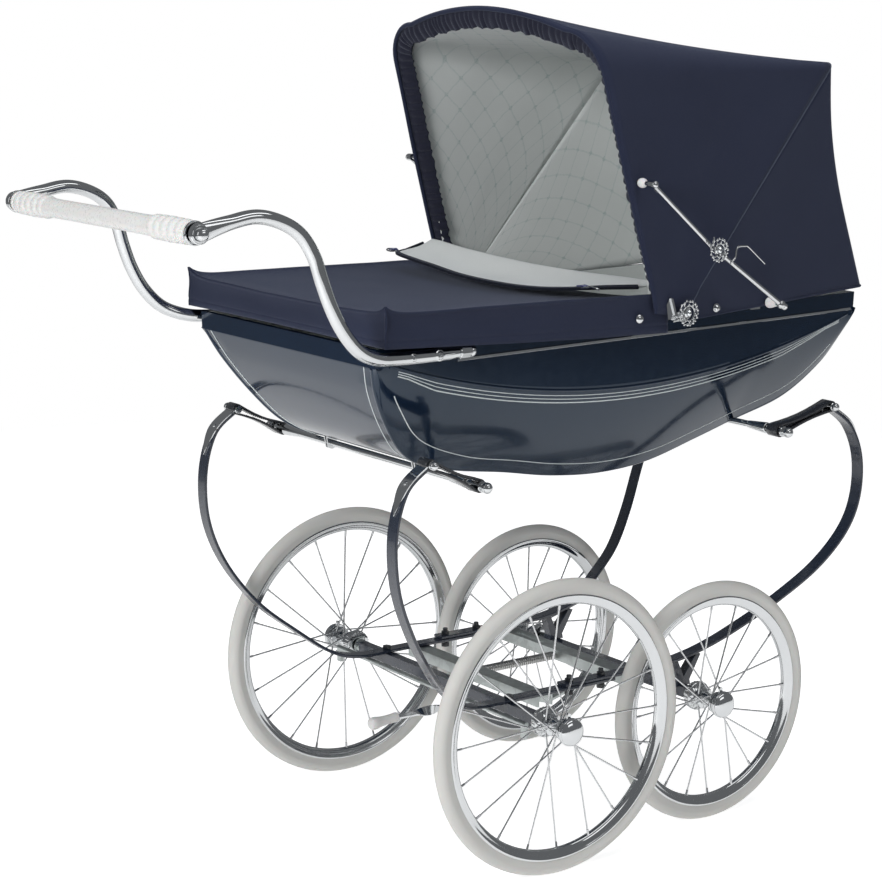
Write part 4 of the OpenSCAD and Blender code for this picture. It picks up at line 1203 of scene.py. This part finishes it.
def make_flap():
    """Weather flap: pale lining uppermost, folded back over the apron, with a dark bound edge and two hooks."""
    edge, ridge = smooth(FLAP_EDGE, 8), smooth(FLAP_RIDGE, 8)
    rows = []
    for i, (e, r) in enumerate(zip(edge, ridge)):
        k = i / (len(edge) - 1)
        row = []
        for t in spread(0, 1, 22):
            x, y, z = (lerp(a, c, t) for a, c in zip(e, r))
            z -= 5.5 * math.sin(math.pi * t) * (0.5 + 0.5 * math.sin(math.pi * k))
            z += 1.3 * noise.noise(Vector((x * 0.018, y * 0.012, 7.7))) * math.sin(math.pi * t)
            row.append(P(x, y, z))
        row += [P(r[0] + tail_x, r[1], r[2] + tail_z) for tail_x, tail_z in FLAP_TAIL]
        rows.append(row)
    b = Build().grid(rows, uv=True)
    piece = b.done("flap_cloth", LINER, "flap", "lining_cloth", ["apron_flap"], 60, thick=2.2)

    rim = Build()
    binding = [(3.6, 1.2), (3.0, 2.2), (-3.0, 2.2), (-3.6, 1.2), (-3.6, -1.2), (-3.0, -2.0), (3.0, -2.0), (3.6, -1.2)]
    rim.tube([P(x - 1.5, y, z - 0.4) for x, y, z in edge], section=binding, up=(1, 0, 0.15))
    end = [[lerp(a, c, i / 12) for a, c in zip(edge[0], ridge[0])] for i in range(9)]
    rim.tube([P(x, y + 1.0, z) for x, y, z in end], 2.4, 10)
    rim.done("flap_binding", PIPING, "flap", "navy_cloth", merge=False)

    hooks = Build()
    tabs = Build()
    for x, y, z, s in ((90, -214, 845.5, -1), (55, 222, 860, 1)):
        ring = [P(x + 9 * math.cos(a), y + s * 4 + 5.5 * math.sin(a) * s, z - 1 + 1.5 * math.sin(a))
                for a in (turn(k, 24) for k in range(25))]
        hooks.tube(ring, 1.15, 8, caps=False)
        hooks.tube([P(x + 9, y + s * 4, z - 1), P(x + 13, y + s * 9, z - 2.5), P(x + 18, y + s * 10, z - 4.5)],
                   lambda t: 1.6 - 0.4 * t, 8)
        tabs.tube([P(x - 4, y - s * 10, z + 0.6), P(x - 2, y - s * 3, z + 1.8), P(x, y + s * 3, z)],
                  section=[(5.5, 0.9), (-5.5, 0.9), (-5.5, -0.9), (5.5, -0.9)], up=(1, 0, 0))
    hooks.done("flap_hooks", CHROME, "flap", "chrome", merge=False)
    tabs.done("flap_tabs", TAB, "flap", "navy_cloth", merge=False)


# ---------------------------------------------------------------- hood

PIVOT = (229.0, 804.0)
FRONT_REACH, REAR_REACH, REAR_ANGLE, FRONT_TOP = 439.0, 460.0, 49.9, 112.0
HOOD_W, LEAN, FOOT = 272.0, 12.0, 387.0
HOOD_MIDDLE = P(100, 0, 1000)
FRONT_CROWN, FRONT_CORNER, REAR_CROWN, REAR_CORNER = 28.0, 70.0, 4.0, 14.0
LEG, BEND, MIDDLE = 22, 12, 36              # rows of an outline in a leg, a corner and the crown
COLUMNS = 2 * (LEG + 1 + BEND) + MIDDLE - 1
LEG_FOOT, LEG_START = 8.0, 34.0             # reach of an outline's first point, and where the legs start to lean
FRONT_LOW, REAR_LOW = (177.0, 806.0), (236.0, 797.0)      # where the hood's front and rear edges end below
FRONT_STRAIGHT = 85.0                       # below this reach the front edge runs straight to its low end


def arch(top, w, rise, corner, d):
    """Hood outline as (reach, y) pairs: leg, round corner, crown, corner, leg, drawn in by d."""
    c = max(corner - d, 1.5)
    half = [(r, w - LEAN * (r - LEG_START) / (top - corner - LEG_START) - d)
            for r in spread(LEG_FOOT, top - d - c, LEG)]
    edge = w - LEAN - d - c
    half += [(top - d - c + c * math.sin(turn(i, 4 * BEND)), edge + c * math.cos(turn(i, 4 * BEND)))
             for i in range(1, BEND + 1)]
    mid = [(top - d + rise * (1 - (y / edge) ** 2), y) for y in spread(edge, -edge, MIDDLE)[1:-1]]
    return half + mid + [(r, -y) for r, y in reversed(half)]


def about_pivot(r, degrees):
    """Side view place at reach r from the hood's pivot."""
    a = math.radians(degrees)
    return PIVOT[0] + r * math.cos(a), PIVOT[1] + r * math.sin(a)


def front_point(r):
    """Side view place of the front edge at reach r: a long bend, then straight down to its low end."""
    if r >= FRONT_STRAIGHT:
        return about_pivot(r, 105.3 + 2830 / r)
    x, z = front_point(FRONT_STRAIGHT)
    t = (FRONT_STRAIGHT - r) / (FRONT_STRAIGHT - LEG_FOOT)
    return lerp(x, FRONT_LOW[0], t) + 1.5 * math.sin(math.pi * t), lerp(z, FRONT_LOW[1], t)


def rear_point(r):
    if r >= LEG_START:
        return about_pivot(r, REAR_ANGLE)
    x, z = rear_point(LEG_START)
    t = (LEG_START - r) / (LEG_START - LEG_FOOT)
    return lerp(x, REAR_LOW[0], t), lerp(z, REAR_LOW[1], t)


def canopy_place(u, j, f, g, belly=1.0):
    """Hood cloth between front edge (u = 0) and rear bow (u = 1); it hangs a little between the two bows."""
    a, b = front_point(f[j][0]), rear_point(g[j][0])
    x, z = lerp(a[0], b[0], u), lerp(a[1], b[1], u)
    y = lerp(f[j][1], g[j][1], u)
    c = abs(j - (COLUMNS - 1) / 2) / ((COLUMNS - 1) / 2)
    roof = max(0.0, 1 - (c / 0.62) ** 6)
    hang = belly * math.sin(math.pi * u)
    z -= 6.0 * hang * roof
    side = max(0.0, math.sin(math.pi * min(1.0, max(0.0, (c - 0.36) / 0.64))))
    y -= math.copysign(3.0 * hang * side, y)
    pull = 0.8 * math.sin(9 * u + 6 * c) * math.sin(math.pi * u) * side
    y += math.copysign(pull, y) + 0.9 * hang * noise.noise(Vector((x * 0.010, z * 0.010, 5.0 if y > 0 else 9.0)))
    return x, y, z


def outlines(d):
    return (arch(FRONT_REACH, HOOD_W, FRONT_CROWN, FRONT_CORNER, d),
            arch(REAR_REACH, HOOD_W, REAR_CROWN, REAR_CORNER, d))


def canopy_rows(us, d, belly=1.0):
    f, g = outlines(d)
    return [[P(*canopy_place(u, j, f, g, belly)) for j in range(COLUMNS)] for u in us]


def back_rows(us, d, foot_low=0.0, draw=None):
    """The hood's back from the rear bow (u = 0) to the tub's rim (u = 1). foot_low lowers its foot; draw pulls
    its foot in by one share all along, where it isn't by 0.04 at the crown and less down the legs."""
    rows = []
    for u in us:
        row = []
        for r, y in outlines(d)[1]:
            share = min(1.0, r / REAR_REACH)
            foot_x = PIVOT[0] + min(r * FOOT / REAR_REACH, FOOT - d)
            foot_z = 791.0 + (foot_x - PIVOT[0]) * 0.053 - foot_low
            x, z = (lerp(a, b, u) for a, b in zip(rear_point(r), (foot_x, foot_z)))
            sag = math.sin(math.pi * u) * share
            side = min(1.0, max(0.0, (abs(y) - 215) / 40))
            x -= 15 * sag * (1 + 0.35 * math.cos(math.pi * u))
            y *= 1 - u * (0.04 * share if draw is None else draw)
            y -= math.copysign(3.4 * sag * side, y)
            y += math.copysign(0.8, y) * sag * side * noise.noise(Vector((x * 0.012, z * 0.012, 2.0)))
            row.append(P(x, y, z))
        rows.append(row)
    return rows


def fan_blend(obj, still, moving, a_still, a_moving):
    """Spreads a fold evenly over the cloth, by each point's angle about the hood's pivot (degrees)."""
    centre = P(PIVOT[0], 0, PIVOT[1])
    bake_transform(obj, still, moving, start=centre, end=P(PIVOT[0], 0, PIVOT[1] + 100))
    layer = obj.data.attributes["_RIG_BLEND"]
    co = np.array([v.co for v in obj.data.vertices])
    angle = np.degrees(np.arctan2(co[:, 2] - centre.z, co[:, 0] - centre.x))
    angle = np.where(angle < -90, angle + 360, angle)
    weight = np.clip((angle - a_still) / (a_moving - a_still), 0, 1).astype(np.float32)
    layer.data.foreach_set("value", weight)


def hood_piece(rows, name, material, slot, replaces, still, moving, angles, flat, area, bows, thick=1.2):
    obj = Build().grid(rows, uv=True).done(name, material, moving, slot, replaces, 60, thick=thick, merge=False,
                                           ride=False)
    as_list(bows)
    fan_blend(obj, still, moving, *angles)


def front_frame(j, f, g):
    """Front edge place j with its unit vectors: back along the cloth, in across the opening, along the edge."""
    a, b, p, q = (P(*canopy_place(u, k, f, g)) for u, k in (
        (0, j), (0.08, j), (0, max(j - 1, 0)), (0, min(j + 1, COLUMNS - 1))))
    along = unit(q - p)
    back = unit((b - a) - along * (b - a).dot(along))
    inward = unit(along.cross(back))
    if inward.dot(HOOD_MIDDLE - a) < 0:
        inward = -inward
    return a, back, inward, along


RUCHE_STEP = 1.5                            # mm of front edge per row of the gathered frill
RUCHE_ACROSS = (0, 0.08, 0.16, 0.24, 0.34, 0.46, 0.58, 0.7, 0.8, 0.88, 0.95, 1.0)


def make_hood():
    both, rear = ["hood_front_bow", "hood_rear_bow"], ["hood_rear_bow"]
    canopy = ("hood_rear", "hood_front", (REAR_ANGLE, FRONT_TOP))
    back = ("carriage", "hood_rear", (0.0, REAR_ANGLE))
    fine = spread(0, 1, 30)
    hood_piece(canopy_rows(fine, 0.0), "hood_canopy_cloth", NAVY_CLOTH, "navy_cloth", ["hood_canopy"], *canopy,
               (1.24, 0.50), 0.43, both)
    hood_piece(back_rows(fine, 0.0), "hood_back_cloth", NAVY_CLOTH, "navy_cloth", ["hood_back"], *back,
               (1.34, 0.36), 0.31, rear)
    hood_piece(canopy_rows(spread(0.05, 1.0, 20), 19.0, 0.4), "hood_lining_cloth", LINING, "lining_cloth",
               ["hood_lining"], *canopy, (1.16, 0.46), 0.38, both, 1.0)
    hood_piece(back_rows(spread(0, 1, 20), 19.0, 6.0, 0.055), "hood_back_lining", LINING, "lining_cloth", [],
               *back, (1.28, 0.36), 0.30, rear, 1.0)

    f, g = outlines(0.0)
    frames = [front_frame(j, f, g) for j in range(COLUMNS)]
    roll = [a + inward * 0.0034 + back * 0.001 for a, back, inward, along in frames]
    rim = Build().tube(roll, lambda t: 3.4 + 0.25 * math.sin(60 * t), 14)
    rim.done("hood_front_roll", NAVY_CLOTH, "hood_front", "navy_cloth", merge=False)

    arc_len = [0.0]
    for j in range(1, COLUMNS):
        arc_len.append(arc_len[-1] + (frames[j][0] - frames[j - 1][0]).length / MM)
    total = arc_len[-1]
    columns = int(total / RUCHE_STEP)
    rows = []
    phase = 0.0
    for i in range(columns + 1):
        s = total * i / columns
        j = min(int(np.searchsorted(arc_len, s, side="right")) - 1, COLUMNS - 2)
        t = (s - arc_len[j]) / max(arc_len[j + 1] - arc_len[j], 1e-9)
        a, back, inward, along = (frames[j][k].lerp(frames[j + 1][k], t) for k in range(4))
        phase += RUCHE_STEP * 2 * math.pi / (13.0 + 7.0 * noise.noise(Vector((s * 0.03, 0.3, 0.1))))
        size = 0.75 + 0.5 * noise.noise(Vector((s * 0.05, 4.0, 1.0)))
        edge_wave = 3.0 * noise.noise(Vector((s * 0.055, 2.0, 6.0))) + 0.8 * math.sin(phase * 0.5)
        row = []
        for v in RUCHE_ACROSS:
            gather = 1.9 * size * math.sin(phase + 0.5 * math.sin(phase * 0.37)) * (1 if v < 0.9 else 0.8)
            gather *= math.sin(math.pi * min(1, v * 0.62 + 0.04))
            puff = 3.4 * math.sin(math.pi * min(1.0, v * 1.02))
            depth_in = 5.0 + 24.0 * v + edge_wave * v
            depth_back = 4.0 + 13.0 * v - puff
            row.append(a + inward * (depth_in * MM) + back * ((depth_back + gather) * MM)
                       + along * (0.9 * math.cos(phase) * v * MM))
        rows.append(row)
    ruche = Build().grid(rows, uv=True).done("hood_ruche", RUCHE_CLOTH, "hood_front", "navy_cloth", angle=70,
                                             thick=0.9, merge=False)

    seams = Build()
    seam = canopy_rows([1.0], 0.0)[0]
    seams.tube([p + unit(Vector((0.2, math.copysign(1, p.y) if abs(p.y) > 0.15 else 0, 0.6))) * 0.0003 for p in seam],
               0.95, 8)
    seams.done("hood_bow_seam", SEAM, "hood_rear", "navy_cloth", merge=False)

    hems = Build()
    foot = back_rows([1.0], 0.0)[0]
    hems.tube([p + Vector((0, 0, 0.0016)) for p in foot], 1.7, 8)
    hems.done("hood_hem", NAVY_CLOTH, "carriage", "navy_cloth", merge=False)
    paint("hood_front_bow", DARK, 0.5)
    paint("hood_rear_bow", DARK, 0.5)


# ---------------------------------------------------------------- hood irons and fittings

IRON_TOP, IRON_MID, IRON_LOW, IRON_Y = (141.0, 996.0), (262.0, 896.0), (396.0, 806.0), 296.0
CATCH_SHARE = 0.78                          # the catch's place on the lower iron, as a share from its low end


def rosette(b, jewels, x, y, z, s, r, phase=0.0):
    """Openwork rosette: a ring of beads and small scrolls round a faceted jewel."""
    out = (0, s, 0)

    def at(radius, angle, h):
        return P(x + radius * math.cos(angle), y + s * h, z + radius * math.sin(angle))
    n = 10
    for k in range(n):
        a = turn(k, n) + phase
        between = a + math.pi / n
        b.ball(at(r - 2.4, a, 1.6), 2.3, out, 0.8, 12)
        b.ball(at(r - 1.0, between, 0.6), 1.5, out, 0.8, 10)
        b.tube([at(r - 3.0, a, 1.4), at(r - 5.5, a + 0.22, 2.6), at(r - 8.6, a, 2.2)], 0.95, 8)
        b.ball(at(r - 7.8, between, 2.8), 1.25, out, 0.9, 10)
    for radius, h, w in ((r - 2.6, 0.4, 1.0), (r - 8.8, 1.6, 0.9)):
        b.tube([at(radius, turn(k, 48), h) for k in range(49)], w, 8, caps=False)
    b.lathe([(0, -2.5), (5.5, -2.5), (7.0, -1.5), (7.0, 0.2), (5.4, 1.4), (0, 1.4)], P(x, y, z), out, 32)
    jewels.lathe([(0.0, 1.2), (4.6, 1.2), (5.0, 2.2), (4.2, 3.9), (2.5, 5.3), (0, 5.8)], P(x, y, z), out, 8)


def upper_iron(on, side, out):
    b = Build()
    a, end = on(IRON_MID, IRON_Y - 1), on(IRON_TOP, IRON_Y + 2)
    d = unit(end - a)
    b.tube([lerp(a, end, t) for t in (0, 0.03, 0.2, 0.5, 0.8, 0.93, 0.955, 1.0)],
           lambda t: 3.5 if t < 0.9 else 4.0, 14)
    for k in range(5):
        b.lathe([(2.5, 0), (3.9, 0.4), (3.9, 1.3), (2.5, 1.7)], end - d * (0.007 + 0.0021 * k), d, 20)
    b.prism(circle(5.6, 6), 9.0, on(IRON_TOP, IRON_Y - 3), out, (1, 0, 0.5))
    b.lathe(smooth([(5.0, 0), (5.4, 1.4), (4.6, 3.8), (2.6, 5.4), (0, 5.8)], 3), on(IRON_TOP, IRON_Y + 6), out, 24)
    b.rod(on(IRON_TOP, 258), on(IRON_TOP, IRON_Y - 2), 2.9)
    b.done(f"iron_upper_{side}", CHROME, f"arm_upper_{side}", "chrome", [f"hood_arm_upper_{side}"], 36, merge=False)
    Build().lathe(smooth([(0, -7.0), (3.6, -6.4), (6.2, -4.0), (7.1, 0), (6.4, 3.8), (4.2, 6.2), (3.1, 8.0),
                          (0, 8.2)], 4), on(IRON_TOP, 276), out, 36).done(
        f"iron_ball_{side}", KNOB, f"arm_upper_{side}", "white_grip", angle=50)


def lower_iron(on, side, out):
    b, jewel = Build(), Build()
    c, a = on(IRON_LOW, IRON_Y + 1), on(IRON_MID, IRON_Y + 3)
    b.tube([lerp(a, c, t) for t in (0, 0.2, 0.5, 0.8, 0.93, 1.0)], lambda t: lerp(3.5, 4.0, t ** 3), 14)
    rosette(b, jewel, IRON_MID[0], out[1] * (IRON_Y + 10), IRON_MID[1], out[1], 18.0)
    b.rod(on(IRON_MID, IRON_Y - 6), on(IRON_MID, IRON_Y + 10), 3.6)
    b.tube([on(IRON_MID, IRON_Y + 6, -7, 11), on(IRON_MID, IRON_Y + 6, -6, 19)], lambda t: lerp(2.3, 1.2, t), 12)
    b.lathe(smooth([(0, -3.6), (4.8, -3.2), (6.6, 0), (6.0, 3.4), (4.0, 5.6), (0, 6.2)], 3), c, out, 24)
    b.prism(circle(4.9, 8), 5.0, on(IRON_LOW, IRON_Y + 1, 5, -2.5), (1, 0, -0.5), (0, 1, 0))
    b.done(f"iron_lower_{side}", CHROME, f"arm_lower_{side}", "chrome", [f"hood_arm_lower_{side}"], 36, merge=False)
    jewel.done(f"elbow_jewel_{side}", JEWEL, f"arm_lower_{side}", "chrome", angle=10)


def pivot_knob(on, side, out):
    b, jewel = Build(), Build()
    rosette(b, jewel, PIVOT[0], out[1] * 280, PIVOT[1], out[1], 19.5, 0.2)
    b.lathe([(3.2, -6), (9.5, -6), (10.5, -5), (9, -1), (3.2, -1)], on(PIVOT, 279), out, 32)
    b.done(f"pivot_rosette_{side}", CHROME, f"knob_{side}", "chrome", [f"hood_knob_{side}"], 36, merge=False)
    jewel.done(f"pivot_jewel_{side}", JEWEL, f"knob_{side}", "chrome", angle=10)


def release_catch(on, side, out):
    x, z = (lerp(a, b, CATCH_SHARE) for a, b in zip(IRON_LOW, IRON_MID))
    y = IRON_Y + 6
    wire = [(x - 2, 0, z), (x + 6, 0.5, z + 7), (301, 0.5, 897), (316, 0.5, 898), (322, 1, 896.5), (338, 2.5, 883),
            (353, 4, 870)]
    b = Build().tube([on((p, r), y + q) for p, q, r in smooth(wire, 5)], lambda t: lerp(1.75, 1.05, t), 10)
    b.ball(on((x, z), y), 3.2, out, 0.8, 16)
    b.done(f"catch_wire_{side}", CHROME, f"catch_{side}", "chrome", [f"hood_catch_{side}"], 50, merge=False)


def hood_hardware(on, side, out):
    """Pins, plates, stop and stud fixed to the tub on one side, and the white spacer on the lower pin."""
    b = Build()
    b.rod(on(IRON_LOW, 238), on(IRON_LOW, 293), 3.0)
    b.rod(on(PIVOT, 238), on(PIVOT, 278), 4.0)
    for place in (PIVOT, IRON_LOW):
        b.prism([(-10, -14), (10, -14), (10, 4), (7, 8), (-7, 8), (-10, 4)], 3.0, on(place, 239.5), out, (1, 0, 0))
    b.prism([(-9, 12), (-3, 22), (1, 21), (10, -9), (4, -12), (-6, -8)], 1.6, on((201, 806), 273.5), out, (1, 0, 0))
    b.prism([(-2, 21), (2, 21), (12, -10), (9, -12)], 3.2, on((200, 806), 274.5), out, (1, 0, 0))
    b.prism(circle(5.0, 6), 5.0, on((211, 803), 275), out, (1, 0, 0.3))
    b.rod(on((203, 796), 275.5), on((213, 803), 276.5), 2.0)
    stud = on((291, 806), 273.5)
    b.lathe([(0, -2), (4.4, -2), (5.2, -1), (5.2, 1.6), (3.4, 3.8), (0, 4.2)], stud, out, 8)
    b.lathe([(0, -3), (6.2, -3), (6.4, -1.4), (5.2, -1.0), (0, -1.0)], stud, out, 24)
    b.done(f"hood_hardware_{side}", CHROME, "carriage", "chrome",
           ["hood_pivots"] if side == "left" else [], 36, merge=False)
    Build().lathe(smooth([(3.1, -9), (6.6, -8.6), (8.2, -6.0), (7.6, -1), (5.6, 5), (4.2, 9), (3.1, 9.6)], 3),
                  on(IRON_LOW, 279), out, 36).done(
        f"iron_spacer_{side}", KNOB, "carriage", "white_grip", angle=50)


def make_irons():
    for s, side in SIDES:
        def on(place, y, dx=0, dz=0):
            return P(place[0] + dx, s * y, place[1] + dz)
        for part in (upper_iron, lower_iron, pivot_knob, release_catch, hood_hardware):
            part(on, side, (0, s, 0))


make_tub()
make_mattress()
make_handle()
make_apron()
make_flap()
make_hood()
make_irons()
